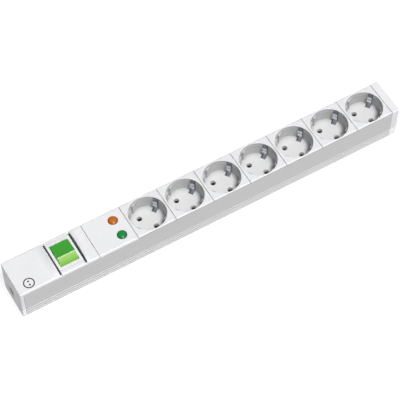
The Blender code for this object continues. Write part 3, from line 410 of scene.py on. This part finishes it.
def socket_plastic(name):
    """White plastic, its colour darkened inside the recess to deepen the shade there."""
    made, shader, tree = shader_of(name, 0.42)
    recess = ramp(tree, from_middle(tree, 12.0, 19.5), [(0.0, grey(0.76)), (0.5, grey(0.68)),
                                                      (0.85, grey(0.52)), (1.0, grey(0.5))])
    plate = ramp(tree, noise(tree, 60.0), shades((0.83, 0.83, 0.84), 0.015))
    mix = tree.nodes.new("ShaderNodeMix")
    mix.data_type = "RGBA"
    tree.links.new(along_axis(tree, "Z", HEIGHT - 1.6, HEIGHT - 0.5), mix.inputs["Factor"])
    tree.links.new(recess, mix.inputs["A"])
    tree.links.new(plate, mix.inputs["B"])
    tree.links.new(mix.outputs["Result"], shader.inputs["Base Color"])
    ramp(tree, noise(tree, 220.0), [(0.3, grey(0.36)), (0.7, grey(0.48))], shader.inputs["Roughness"])
    bump(tree, shader, noise(tree, 1500.0), 0.00001)
    return made


def green_rocker(name):
    """Tinted plastic over a lamp, deep green on the far face; the near face is paler with painted light,
    and a painted highlight runs beside the ridge.
    """
    made, shader, tree = shader_of(name, 0.22)
    low, high = rocker_low.y, rocker_high.y
    ridge = 1 - (high - RIDGE_Y) / (high - low)
    # painted light: paler green on the near face, a painted highlight just before the ridge, then the plain
    # deep green
    stops = [(0.0, (0.17, 0.46, 0.03)), (ridge - 0.03, (0.34, 0.6, 0.16)),
             (ridge - 0.005, (0.6, 0.82, 0.45)), (ridge + 0.03, (0.038, 0.36, 0.02)),
             (1.0, (0.042, 0.38, 0.022))]
    ramp(tree, along_axis(tree, "Y", low, high), stops, shader.inputs["Base Color"])
    bump(tree, shader, noise(tree, 500.0), 0.000008)
    shader.inputs["Specular IOR Level"].default_value = 0.3
    return made


def lens_plastic(name, deep, light):
    """A tinted dome, lighter in the middle with a painted glow where the lamp sits behind it."""
    made, shader, tree = shader_of(name, 0.3)
    place = tree.nodes.new("ShaderNodeTexCoord")
    mapping = tree.nodes.new("ShaderNodeMapping")
    mapping.inputs["Scale"].default_value = (1, 1, 0)
    size = tree.nodes.new("ShaderNodeVectorMath")
    size.operation = "LENGTH"
    reach = tree.nodes.new("ShaderNodeMapRange")
    reach.inputs["From Max"].default_value = LENS_RADIUS * MM
    tree.links.new(place.outputs["Object"], mapping.inputs[0])
    tree.links.new(mapping.outputs[0], size.inputs[0])
    tree.links.new(size.outputs["Value"], reach.inputs["Value"])
    # painted glow in the middle, fading out to the deep tint at the rim
    ramp(tree, reach.outputs[0], [(0.0, light), (0.6, light), (0.95, deep)],
         shader.inputs["Base Color"])
    bump(tree, shader, noise(tree, 450.0), 0.00001)
    shader.inputs["Specular IOR Level"].default_value = 0.25
    return made


MATERIALS = {
    "anodised_aluminium": metal("anodised_aluminium", (0.61, 0.6, 0.605), 0.5, ALONG_X,
                                relief=0.000002, metallic=0.15, spread=0.015),
    "white_plastic": plastic("white_plastic", (0.85, 0.85, 0.86), 0.42),
    "socket_plastic": socket_plastic("socket_plastic"),
    "switch_frame_plastic": plastic("switch_frame_plastic", (0.84, 0.84, 0.86), 0.3),
    "black_plastic": plastic("black_plastic", (0.03, 0.03, 0.032), 0.5, 0.1),
    "grey_plastic": plastic("grey_plastic", (0.38, 0.38, 0.4), 0.5, 0.05),
    "terminal_ceramic": plastic("terminal_ceramic", (0.74, 0.71, 0.66), 0.55, 0.04, 800.0),
    "green_rocker": green_rocker("green_rocker"),
    "plated_steel": metal("plated_steel", (0.56, 0.58, 0.64), 0.28),
    "clip_metal": clip_metal("clip_metal"),
    "brass": metal("brass", (0.5, 0.42, 0.27), 0.35, ALONG_X),
    "lamp_glass": clear_glass("lamp_glass"),
    "orange_lens": lens_plastic("orange_lens", (0.34, 0.07, 0.006), (0.56, 0.15, 0.008)),
    "green_lens": lens_plastic("green_lens", (0.0, 0.12, 0.03), (0.0, 0.26, 0.05)),
    "circuit_board": circuit_board("circuit_board"),
    "varistor_blue": plastic("varistor_blue", (0.03, 0.11, 0.42), 0.35, 0.08, 600.0),
    "fuse_white": plastic("fuse_white", (0.8, 0.8, 0.78), 0.4, 0.03),
    "brown_insulation": plastic("brown_insulation", (0.18, 0.07, 0.03), 0.45, 0.08),
    "blue_insulation": plastic("blue_insulation", (0.04, 0.14, 0.5), 0.45, 0.08),
    "green_yellow_insulation": striped_insulation("green_yellow_insulation"),
}
SLOTS = {part["node"]: part["material_slot"] for part in frame["record"]["subparts"]}


# ---------------------------------------------------------------- shapes, in millimetres

def new_object(name, bm):
    bmesh.ops.scale(bm, vec=(MM, MM, MM), verts=bm.verts)
    mesh = bpy.data.meshes.new(name)
    bm.to_mesh(mesh)
    bm.free()
    made = bpy.data.objects.new(name, mesh)
    bpy.context.scene.collection.objects.link(made)
    return made


def loft(name, rings):
    """A closed skin over rings of points, one ring after the other, with both ends filled."""
    bm = bmesh.new()
    rows = [[bm.verts.new(point) for point in ring] for ring in rings]
    for a, b in zip(rows, rows[1:]):
        for i, vert in enumerate(a):
            j = (i + 1) % len(a)
            bm.faces.new((vert, a[j], b[j], b[i]))
    bm.faces.new(rows[0])
    bm.faces.new(rows[-1])
    bmesh.ops.recalc_face_normals(bm, faces=bm.faces)
    return new_object(name, bm)


def prism_x(name, outline, low, high):
    """A (Y, Z) outline drawn out along X."""
    return loft(name, [[(x, y, z) for y, z in outline] for x in (low, high)])


def prism_z(name, outline, low, high):
    """An (X, Y) outline drawn out along Z."""
    return loft(name, [[(x, y, z) for x, y in outline] for z in (low, high)])


def box(name, x, y, z):
    return prism_z(name, [(x[0], y[0]), (x[1], y[0]), (x[1], y[1]), (x[0], y[1])], *z)


def arc(centre, radius, start, end, steps):
    """Points on an arc, angles in degrees, both ends included."""
    turns = [radians(start + (end - start) * i / steps) for i in range(steps + 1)]
    return [(centre[0] + radius * cos(t), centre[1] + radius * sin(t)) for t in turns]


def rounded_rectangle(centre, size, radius, steps=6):
    """Points around a rectangle with round corners."""
    x, y = size[0] / 2 - radius, size[1] / 2 - radius
    points = []
    for start, (sx, sy) in zip((0, 90, 180, 270), ((1, 1), (-1, 1), (-1, -1), (1, -1))):
        points += arc((centre[0] + sx * x, centre[1] + sy * y), radius, start, start + 90, steps)
    return points


def revolve(name, profile, centre=(0, 0), steps=96):
    """A closed turned shape from (radius, height) points that start and end on the axis."""
    bm = bmesh.new()
    ends = [bm.verts.new((*centre, z)) for r, z in (profile[0], profile[-1])]
    rows = []
    for r, z in profile[1:-1]:
        turns = [2 * pi * i / steps for i in range(steps)]
        rows.append([bm.verts.new((centre[0] + r * cos(t), centre[1] + r * sin(t), z))
                     for t in turns])
    for i in range(steps):
        j = (i + 1) % steps
        bm.faces.new((ends[0], rows[0][i], rows[0][j]))
        bm.faces.new((ends[1], rows[-1][j], rows[-1][i]))
        for a, b in zip(rows, rows[1:]):
            bm.faces.new((a[i], b[i], b[j], a[j]))
    bmesh.ops.recalc_face_normals(bm, faces=bm.faces)
    return new_object(name, bm)


def along_x(obj, centre):
    """Turns a shape made about the Z axis to lie along X, at a (Y, Z) centre."""
    turn = Matrix.Rotation(pi / 2, 4, "Y")
    obj.data.transform(Matrix.Translation((0, centre[0] * MM, centre[1] * MM)) @ turn)
    return obj


def apply(obj):
    """The object's modifiers, applied."""
    bpy.context.view_layer.update()
    evaluated = obj.evaluated_get(bpy.context.evaluated_depsgraph_get())
    mesh = bpy.data.meshes.new_from_object(evaluated)
    obj.modifiers.clear()
    obj.data = mesh
    return obj


def combine(target, operation, *tools):
    """Cuts or adds each tool, and removes it."""
    for tool in tools:
        step = target.modifiers.new("step", "BOOLEAN")
        step.operation = operation
        step.object = tool
        step.solver = "MANIFOLD"
    apply(target)
    for tool in tools:
        bpy.data.objects.remove(tool)
    return target


def cut(target, *tools):
    return combine(target, "DIFFERENCE", *tools)


def fuse(target, *tools):
    return combine(target, "UNION", *tools)


def soften(obj, width, segments=3, angle=40.0):
    """Rounds the object's edges."""
    step = obj.modifiers.new("round", "BEVEL")
    step.width = width * MM
    step.segments = segments
    step.limit_method = "ANGLE"
    step.angle_limit = radians(angle)
    return apply(obj)


def smooth(obj, angle=30.0):
    """Smooth shading up to an angle; large flat faces keep their own normals."""
    obj.data.shade_smooth()
    obj.data.set_sharp_from_angle(angle=radians(angle))
    step = obj.modifiers.new("normals", "WEIGHTED_NORMAL")
    step.weight = 100
    step.keep_sharp = True
    return apply(obj)


def show(obj, body, slot, *nodes):
    """The piece takes its material, moves with its body and stands for its CAD nodes."""
    obj.data.materials.clear()
    obj.data.materials.append(MATERIALS[slot])
    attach(obj, body)
    for node in nodes:
        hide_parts(node)
    return obj


# ---------------------------------------------------------------- channel and ends

def ribbed_side():
    """The outer side from the sloped foot to the flat wall, with three softly rounded ribs."""
    points = [(HALF - FOOT, 0.0), (HALF - FOOT + 0.15, 0.05)]
    points += [(HALF - RIB_DEPTH - 0.15, FOOT - RIB_DEPTH - 0.15),
               (HALF - RIB_DEPTH, FOOT - RIB_DEPTH + 0.2)]
    slope = [(0, 0), (0.12, 0.07), (0.24, 0.33), (0.36, 0.7), (0.42, 0.9), (0.55, 1)]
    for height in RIBS:
        points += [(HALF - RIB_DEPTH * (1 - out), height - 1.25 + up) for up, out in slope]
        points += [(HALF - RIB_DEPTH * out, height + 0.25 + up) for up, out in slope]
    top = RIBS[-1] + 2.1
    points += [(HALF - RIB_DEPTH * (1 - out), top + up) for up, out in slope]
    return points


def both_sides(half):
    """A right half from the bottom up, closed with its mirror image."""
    return [*half, *[(-y, z) for y, z in reversed(half)]]


def housing_profile():
    """The extruded channel: thin upper walls, a thicker lower part with the inner shelf."""
    top = channel_high.z
    inner, shelf, lower, ground = HALF - 1.0, 16.0, HALF - 2.0, 1.6
    half = ribbed_side() + [(HALF, top - 0.15), (HALF - 0.15, top), (inner + 0.1, top),
                            (inner, top - 0.1), (inner, shelf), (lower, shelf),
                            (lower, ground + 1.5), (lower - 1.5, ground)]
    piece = prism_x("channel_skin", both_sides(half), channel_low.x, channel_high.x)
    show(smooth(piece, 35), "strip", "anodised_aluminium", "housing_profile")
    for number in range(1, 5):
        low, high = limits(f"end_cap_screw_{number}")
        place = ((low.x + high.x) / 2, (low.y + high.y) / 2)
        cut(piece, revolve("screw_sink", [(0, -0.01), (3.0, -0.01), (1.7, 1.5), (1.4, 1.7),
                                          (1.4, 3), (0, 3)], place, 32))
    smooth(piece, 35)


def end_skin(name, outer, inner):
    """An end piece's full section from its inner face to its rounded outer face."""
    half = ribbed_side() + arc((HALF - EDGE, HEIGHT - EDGE), EDGE, 0, 90, 8)
    outline = both_sides(half)
    middle = HEIGHT / 2
    direction = 1 if inner > outer else -1
    rings = []
    for i in range(9):
        angle = pi / 2 * i / 8
        inset = CORNER * (1 - sin(angle))
        drop = END_EDGE * (1 - sin(angle))
        x = outer + direction * CORNER * (1 - cos(angle))
        rings.append([(x, y * (HALF - inset) / HALF, middle + (z - middle) * (middle - drop) / middle)
                      for y, z in outline])
    rings.append([(inner, y, z) for y, z in outline])
    skin = loft(name, rings)
    notches = []
    for side in (-1, 1):
        x = sorted((outer - direction, outer + direction * 3.4))
        y = sorted((side * (HALF - 0.8), side * (HALF + 1)))
        notches.append(soften(box("notch", x, y, (NOTCH_Z, NOTCH_Z + 0.9)), 0.15, 2))
    return cut(skin, *notches)


def plate(name, low, high, outer_step=0.25):
    """A module's top plate with rounded long edges and finely broken edges at its joints."""
    bottom = HEIGHT - PLATE
    half = [(HALF, bottom)] + arc((HALF - EDGE, HEIGHT - EDGE), EDGE, 0, 90, 8)
    outline = both_sides(half)
    rings = []
    for x, inset in ((low, outer_step), (low + 0.1, 0.08), (low + outer_step, 0),
                     (high - outer_step, 0), (high - 0.1, 0.08), (high, outer_step)):
        rings.append([(x, y * (HALF - inset) / HALF, bottom + (z - bottom) * (PLATE - inset) / PLATE)
                      for y, z in outline])
    return loft(name, rings)


def right_end_cap():
    piece = end_skin("end_cap_skin", X_RIGHT, X_CAP)
    show(smooth(piece, 35), "strip", "white_plastic", "right_end_cap")


def hump(inner, length, direction):
    """A guard beside the switch: it swells up from the plate to an upright inner wall."""
    columns, rows = 28, 36
    reach = HALF - EDGE - 0.1
    bm = bmesh.new()
    bmesh.ops.create_grid(bm, x_segments=columns, y_segments=rows, size=0.5)
    for vert in bm.verts:
        t = vert.co.x + 0.5
        across = 2 * vert.co.y
        crest = min(t / 0.9, 1)
        rounding = 0.35 * max((t - 0.93) / 0.07, 0) ** 2
        rise = HUMP_RISE * crest ** 2 * max(1 - across ** 2, 0) ** 0.75 * (1 - rounding)
        vert.co = (inner + direction * length * (1 - t), across * reach, HEIGHT - 0.02 + rise)
    skirt = bmesh.ops.extrude_face_region(bm, geom=bm.faces[:])
    for vert in (v for v in skirt["geom"] if isinstance(v, bmesh.types.BMVert)):
        vert.co.z = HEIGHT - 1.0
    bmesh.ops.recalc_face_normals(bm, faces=bm.faces)
    return new_object("hump", bm)


def switch_end_cover():
    cover = plate("cover_skin", X_LEFT + END_WALL / 2, cover_high.x)
    fuse(cover, end_skin("cover_end", X_LEFT, X_LEFT + END_WALL))
    centre = (flange_low.x + flange_high.x) / 2
    for side in (-1, 1):
        inner = centre + side * HUMP_INNER
        fuse(cover, hump(inner, HUMP_LENGTH[side], side))
        channel = box("groove", sorted((inner, inner - side * GROOVE)), (-HALF - 1, HALF + 1),
                      (HEIGHT - GROOVE_DEPTH, HEIGHT + 8))
        cut(cover, channel)
    middle_y = (flange_low.y + flange_high.y) / 2
    size = (flange_high.x - flange_low.x + 0.8, flange_high.y - flange_low.y + 0.8)
    pocket = prism_z("pocket", rounded_rectangle((centre, middle_y), size, 1.2),
                     HEIGHT - 1.6, HEIGHT + 8)
    window = prism_z("window", rounded_rectangle((centre, middle_y), (22.6, 29.6), 0.6),
                     HEIGHT - PLATE - 2, HEIGHT + 8)
    bush_low, bush_high = limits("cord_bush")
    centre_yz = ((bush_low.y + bush_high.y) / 2, (bush_low.z + bush_high.z) / 2)
    low, high = X_LEFT - 0.01, X_LEFT + END_WALL + 1
    rim = [(0, low), (CORD_HOLE + 0.6, low), (CORD_HOLE + 0.2, low + 0.15), (CORD_HOLE, low + 0.6),
           (CORD_HOLE, high), (0, high)]
    hole = along_x(revolve("hole", rim, steps=64), centre_yz)
    cut(cover, pocket, window, hole)
    show(smooth(cover, 35), "strip", "white_plastic", "switch_end_cover")


def painted_groove_shade():
    """Black strips laid in the groove on each side of the switch's bezel: painted shade at the groove's
    bottom.
    """
    centre = (flange_low.x + flange_high.x) / 2
    bottom = HEIGHT - GROOVE_DEPTH
    reach = HALF - EDGE - 0.6
    strips = []
    for side in (-1, 1):
        outer = centre + side * (HUMP_INNER - 0.05)
        inner = centre + side * (HUMP_INNER - GROOVE + 0.15)
        strips.append(box("painted_groove_shade", sorted((inner, outer)), (-reach, reach), (bottom, bottom + 0.6)))
    shade_strips = fuse(*strips)
    show(soften(shade_strips, 0.15, 2), "strip", "black_plastic")


def cover_print():
    """A small generic socket sign, printed where the cover has its marking."""
    centre = Vector((-206.0, -12.5))
    low, high = HEIGHT - 0.05, HEIGHT + 0.03
    ring = revolve("cover_print", [(0, low), (5.8, low), (5.8, high), (0, high)], centre, 64)
    cut(ring, revolve("ring_hole", [(0, low - 1), (4.6, low - 1), (4.6, high + 1), (0, high + 1)],
                      centre, 64))
    for side in (-1, 1):
        dot = (centre[0], centre[1] + side * 2.0)
        fuse(ring, revolve("dot", [(0, low), (1.0, low), (1.0, high), (0, high)], dot, 24))
    show(smooth(ring), "strip", "black_plastic")


# ---------------------------------------------------------------- switch

def switch_frame():
    centre = ((flange_low.x + flange_high.x) / 2, (flange_low.y + flange_high.y) / 2)
    outer = (flange_high.x - flange_low.x, flange_high.y - flange_low.y)
    top = flange_high.z
    rings = []
    for inset, z in ((0, top - FLANGE_THICKNESS), (0, top - 0.35), (0.1, top - 0.12), (0.35, top)):
        size = (outer[0] - 2 * inset, outer[1] - 2 * inset)
        rings.append([(x, y, z) for x, y in rounded_rectangle(centre, size, 1.0 - inset * 0.5)])
    piece = loft("bezel_skin", rings)
    fuse(piece, box("body", (centre[0] - 11, centre[0] + 11), (centre[1] - 14.5, centre[1] + 14.5),
                    (flange_low.z, top - 0.5)))
    rings = []
    for grow, z in ((0, flange_low.z + 2.2), (0, top - 0.5), (0.1, top - 0.15), (0.4, top + 0.01),
                    (0.4, top + 5)):
        size = (OPENING[0] + 2 * grow, OPENING[1] + 2 * grow)
        rings.append([(x, y, z) for x, y in rounded_rectangle(centre, size, 0.6 + grow)])
    reach = OPENING[0] / 2 + 1.1
    profile = [(0, centre[0] - reach), (BEARING, centre[0] - reach), (BEARING, centre[0] + reach),
               (0, centre[0] + reach)]
    bearing = along_x(revolve("bearing", profile, steps=32), (PIVOT.y, PIVOT.z))
    cut(piece, loft("opening", rings), bearing)
    show(smooth(piece, 35), "strip", "switch_frame_plastic", "switch_frame")


def rocker():
    """A roof with a soft ridge; its axle and plunger tubes are below."""
    half_width = 9.85
    reach, edge, drop = 12.2, 4.7, -1.0
    ridge_y, ridge_z = -4.4, 9.7
    outline = [(reach - 0.5, edge + 0.55), (ridge_y + 0.9, ridge_z - 0.32), (ridge_y + 0.4, ridge_z - 0.1),
               (ridge_y, ridge_z - 0.03), (ridge_y - 0.4, ridge_z - 0.18), (ridge_y - 0.8, ridge_z - 0.5),
               (-reach + 0.5, edge + 0.55), (-reach + 0.12, edge + 0.1), (-reach, edge - 0.4),
               (-reach, drop), (-8.5, -4.0), (8.5, -4.0), (reach, drop), (reach, edge - 0.4),
               (reach - 0.12, edge + 0.1)]
    rings = []
    for x, inset in ((-half_width, 0.45), (-half_width + 0.12, 0.15), (-half_width + 0.45, 0),
                     (half_width - 0.45, 0), (half_width - 0.12, 0.15), (half_width, 0.45)):
        scale = 1 - inset / reach
        rings.append([(x, y * scale, z * scale) for y, z in outline])
    piece = loft("rocker_skin", rings)
    for pole in (-1, 1):
        x = 6.0 * pole
        tube = [(0, -3), (2.8, -3), (2.8, -8.5), (0, -8.5)]
        fuse(piece, revolve("tube", tube, (x, 0), 32))
        cut(piece, revolve("bore", [(0, 1.5), (2.0, 1.5), (2.0, -9), (0, -9)], (x, 0), 32))
    axle = revolve("axle", [(0, -10.7), (1.5, -10.7), (1.5, 10.7), (0, 10.7)], steps=32)
    fuse(piece, along_x(axle, (0, 0)))
    cut(piece, box("lamp_room", (-2.9, 2.9), (-9.5, 9.5), (-5, 3)))
    piece.data.transform(Matrix.Translation(PIVOT_CENTRE * MM) @ Matrix.Rotation(radians(6.0), 4, "X"))
    show(smooth(piece, 35), "rocker", "green_rocker", "rocker")


# ---------------------------------------------------------------- indicator module

def indicator_cover():
    piece = plate("indicator_skin", indicator_low.x, indicator_high.x)
    for name in ("orange_lens", "green_lens"):
        low, high = limits(name)
        centre = ((low.x + high.x) / 2, (low.y + high.y) / 2)
        radius = LENS_RADIUS + 0.25
        bottom = HEIGHT - PLATE - 1
        profile = [(0, bottom), (radius, bottom), (radius, HEIGHT - 0.5), (radius + 0.12, HEIGHT - 0.15),
                   (radius + 0.4, HEIGHT + 0.01), (radius + 0.4, HEIGHT + 1), (0, HEIGHT + 1)]
        cut(piece, revolve("lens_hole", profile, centre, 64))
    show(smooth(piece, 35), "strip", "white_plastic", "indicator_cover")


def lens(name):
    """A domed cap; its collar sits under the cover."""
    low, high = limits(name)
    dome = high.z - HEIGHT
    sphere = (LENS_RADIUS ** 2 + dome ** 2) / (2 * dome)
    profile = [(0, high.z)]
    for step in range(1, 15):
        angle = asin(LENS_RADIUS / sphere) * step / 14
        profile.append((sphere * sin(angle), high.z - sphere * (1 - cos(angle))))
    under = HEIGHT - PLATE - 0.3
    profile += [(LENS_RADIUS, under), (LENS_RADIUS + 1, under), (LENS_RADIUS + 1, under - 0.8),
                (LENS_RADIUS - 1.2, under - 0.8), (LENS_RADIUS - 1.2, HEIGHT - 1.2), (0, HEIGHT - 0.6)]
    piece = smooth(revolve(f"{name}_skin", profile, steps=64), 30)
    piece.location = Vector(((low.x + high.x) / 2, (low.y + high.y) / 2, 0)) * MM
    show(piece, "strip", name, name)


# ---------------------------------------------------------------- sockets

def turned_point(angle, u, v):
    """A point given along and across a direction in the XY plane."""
    turn = radians(angle)
    return (u * cos(turn) - v * sin(turn), u * sin(turn) + v * cos(turn))


def guided_outline(radius, chord):
    """The recess below its guide ledges: a circle with two slotted flats."""
    points = []
    open_angle = degrees(atan2(sqrt(radius ** 2 - chord ** 2), chord))
    slot_angle = degrees(asin(GUIDE_SLOT / 2 / radius))
    for side in (0, 180):
        turn = PIN_ANGLE + side
        points += [turned_point(turn, chord, -GUIDE_SLOT / 2)]
        points += arc((0, 0), radius, turn - slot_angle, turn + slot_angle, 6)
        points += [turned_point(turn, chord, GUIDE_SLOT / 2)]
        points += arc((0, 0), radius, turn + open_angle, turn + 180 - open_angle, 40)
    return points


def socket_mesh():
    """One socket about its own centre: plate, cup, recess, guides, pin holes and clip slots."""
    half = (socket_high.x - socket_low.x) / 2
    body = plate("socket_master", -half, half)
    bottom = HEIGHT - RECESS_DEPTH
    foot = bottom - CUP_FLOOR
    flat = degrees(asin((HALF - 1.2) / (RECESS_RADIUS + CUP_WALL)))
    outer = RECESS_RADIUS + CUP_WALL
    cup = arc((0, 0), outer, -flat, flat, 40) + arc((0, 0), outer, 180 - flat, 180 + flat, 40)
    fuse(body, prism_z("cup", cup, foot, HEIGHT - PLATE + 1))
    ledge = HEIGHT - GUIDE_DROP
    rim = [(0, ledge), (RECESS_RADIUS, ledge), (RECESS_RADIUS, HEIGHT - 0.8)]
    rim += [(RECESS_RADIUS + 0.8 - 0.8 * cos(radians(a)), HEIGHT - 0.8 + 0.8 * sin(radians(a)))
            for a in (22.5, 45, 67.5, 90)]
    rim += [(RECESS_RADIUS + 0.8, HEIGHT + 1), (0, HEIGHT + 1)]
    rings = []
    for inset, z in ((0.6, bottom), (0.18, bottom + 0.18), (0, bottom + 0.6), (0, ledge - 0.3),
                     (-0.05, ledge + 0.5)):
        rings.append([(x, y, z) for x, y in guided_outline(RECESS_FOOT - inset, GUIDE_CHORD - inset)])
    cut(body, revolve("recess_top", rim, steps=128), loft("recess_low", rings))
    for side in (0, 180):
        x, y = turned_point(PIN_ANGLE + side, PIN_SPACING / 2, 0)
        collar = [(0, foot - COLLAR), (PIN_HOLE + 1.2, foot - COLLAR), (PIN_HOLE + 1.2, foot + 1),
                  (0, foot + 1)]
        fuse(body, revolve("collar", collar, (x, y), 40))
        hole = [(0, foot - COLLAR - 1), (PIN_HOLE, foot - COLLAR - 1), (PIN_HOLE, bottom - 0.7),
                (PIN_HOLE + 0.15, bottom - 0.3), (PIN_HOLE + 0.7, bottom + 0.01),
                (PIN_HOLE + 0.7, bottom + 0.4), (0, bottom + 0.4)]
        cut(body, revolve("pin_hole", hole, (x, y), 40))
        turn = PIN_ANGLE + 90 + side
        wide = CLIP_WIDTH / 2 + 0.3
        near, far = CLIP_WINDOW, CLIP_RADIUS + CLIP_THICKNESS / 2 + 0.45
        slot = [turned_point(turn, near, -wide), turned_point(turn, far, -wide),
                turned_point(turn, far, wide), turned_point(turn, near, wide)]
        cut(body, prism_z("clip_slot", slot, foot - 1, HEIGHT - CLIP_DROP + 0.6))
    smooth(body, 32)
    mesh = body.data
    bpy.data.objects.remove(body)
    return mesh


def sockets():
    mesh = socket_mesh()
    for node, x in zip(SOCKET_NODES, SOCKET_X):
        piece = bpy.data.objects.new(f"{node}_skin", mesh)
        bpy.context.scene.collection.objects.link(piece)
        piece.location.x = x * MM
        show(piece, "strip", "socket_plastic", node)


def clip_path(low, high):
    """One arm of the earth contact from its foot up: two ridges stand out towards the plug."""
    arm = []
    steps = 40
    for step in range(steps + 1):
        t = step / steps
        bulge = sum(CLIP_BULGE * exp(-((t - ridge) / CLIP_RIDGE_WIDTH) ** 2) for ridge in CLIP_RIDGES)
        arm.append((CLIP_RADIUS - bulge, low + (high - low) * t))
    return arm


def clip_strip(x, low, high):
    """A bent strip under a cup with an arm up each side, its edges finely rounded."""
    arm = clip_path(low, high)
    path = [*reversed(arm), *[(-u, z) for u, z in arm]]
    thick, wide, fillet = CLIP_THICKNESS / 2, CLIP_WIDTH / 2, 0.15
    section = [(-wide + fillet, -thick), (wide - fillet, -thick), (wide, -thick + fillet),
               (wide, thick - fillet), (wide - fillet, thick), (-wide + fillet, thick),
               (-wide, thick - fillet), (-wide, -thick + fillet)]
    rings = []
    for index, (u, z) in enumerate(path):
        before, after = path[max(index - 1, 0)], path[min(index + 1, len(path) - 1)]
        ahead = Vector((after[0] - before[0], after[1] - before[1])).normalized()
        ring = []
        for across, out in section:
            place = (u - out * ahead[1], z + out * ahead[0])
            px, py = turned_point(PIN_ANGLE + 90, place[0], across)
            ring.append((x + px, py, place[1]))
        rings.append(ring)
    return loft("strip", rings)


def earth_rail():
    strap = HEIGHT - RECESS_DEPTH - CUP_FLOOR - 0.3 - CLIP_THICKNESS / 2
    rail_top = strap - CLIP_THICKNESS / 2 + 0.1
    rail = soften(box("earth_rail_skin", (rail_low.x, rail_high.x), (-3.0, 3.0),
                      (rail_low.z, rail_top)), 0.15, 2)
    for x in SOCKET_X:
        fuse(rail, clip_strip(x, strap, HEIGHT - CLIP_DROP))
    show(smooth(rail, 40), "strip", "clip_metal", "earth_rail")


# ---------------------------------------------------------------- scene

def carried_nodes():
    """The CAD nodes that are shown as they are take their slot's material."""
    for name, node in frame["nodes"].items():
        node.data.materials.clear()
        node.data.materials.append(MATERIALS[SLOTS[name]])


def main():
    camera()
    world()
    sun("key_light", (0.06, -0.42, 0.90), 2.75, 18)
    sun("front_light", (0.20, -0.90, 0.30), 0.35, 30, mirrored=False)
    floor()
    carried_nodes()
    housing_profile()
    switch_end_cover()
    # black strips as painted shade in the grooves beside the switch
    painted_groove_shade()
    cover_print()
    right_end_cap()
    switch_frame()
    rocker()
    indicator_cover()
    lens("orange_lens")
    lens("green_lens")
    sockets()
    earth_rail()
    bpy.context.scene.view_settings.view_transform = "Standard"


main()
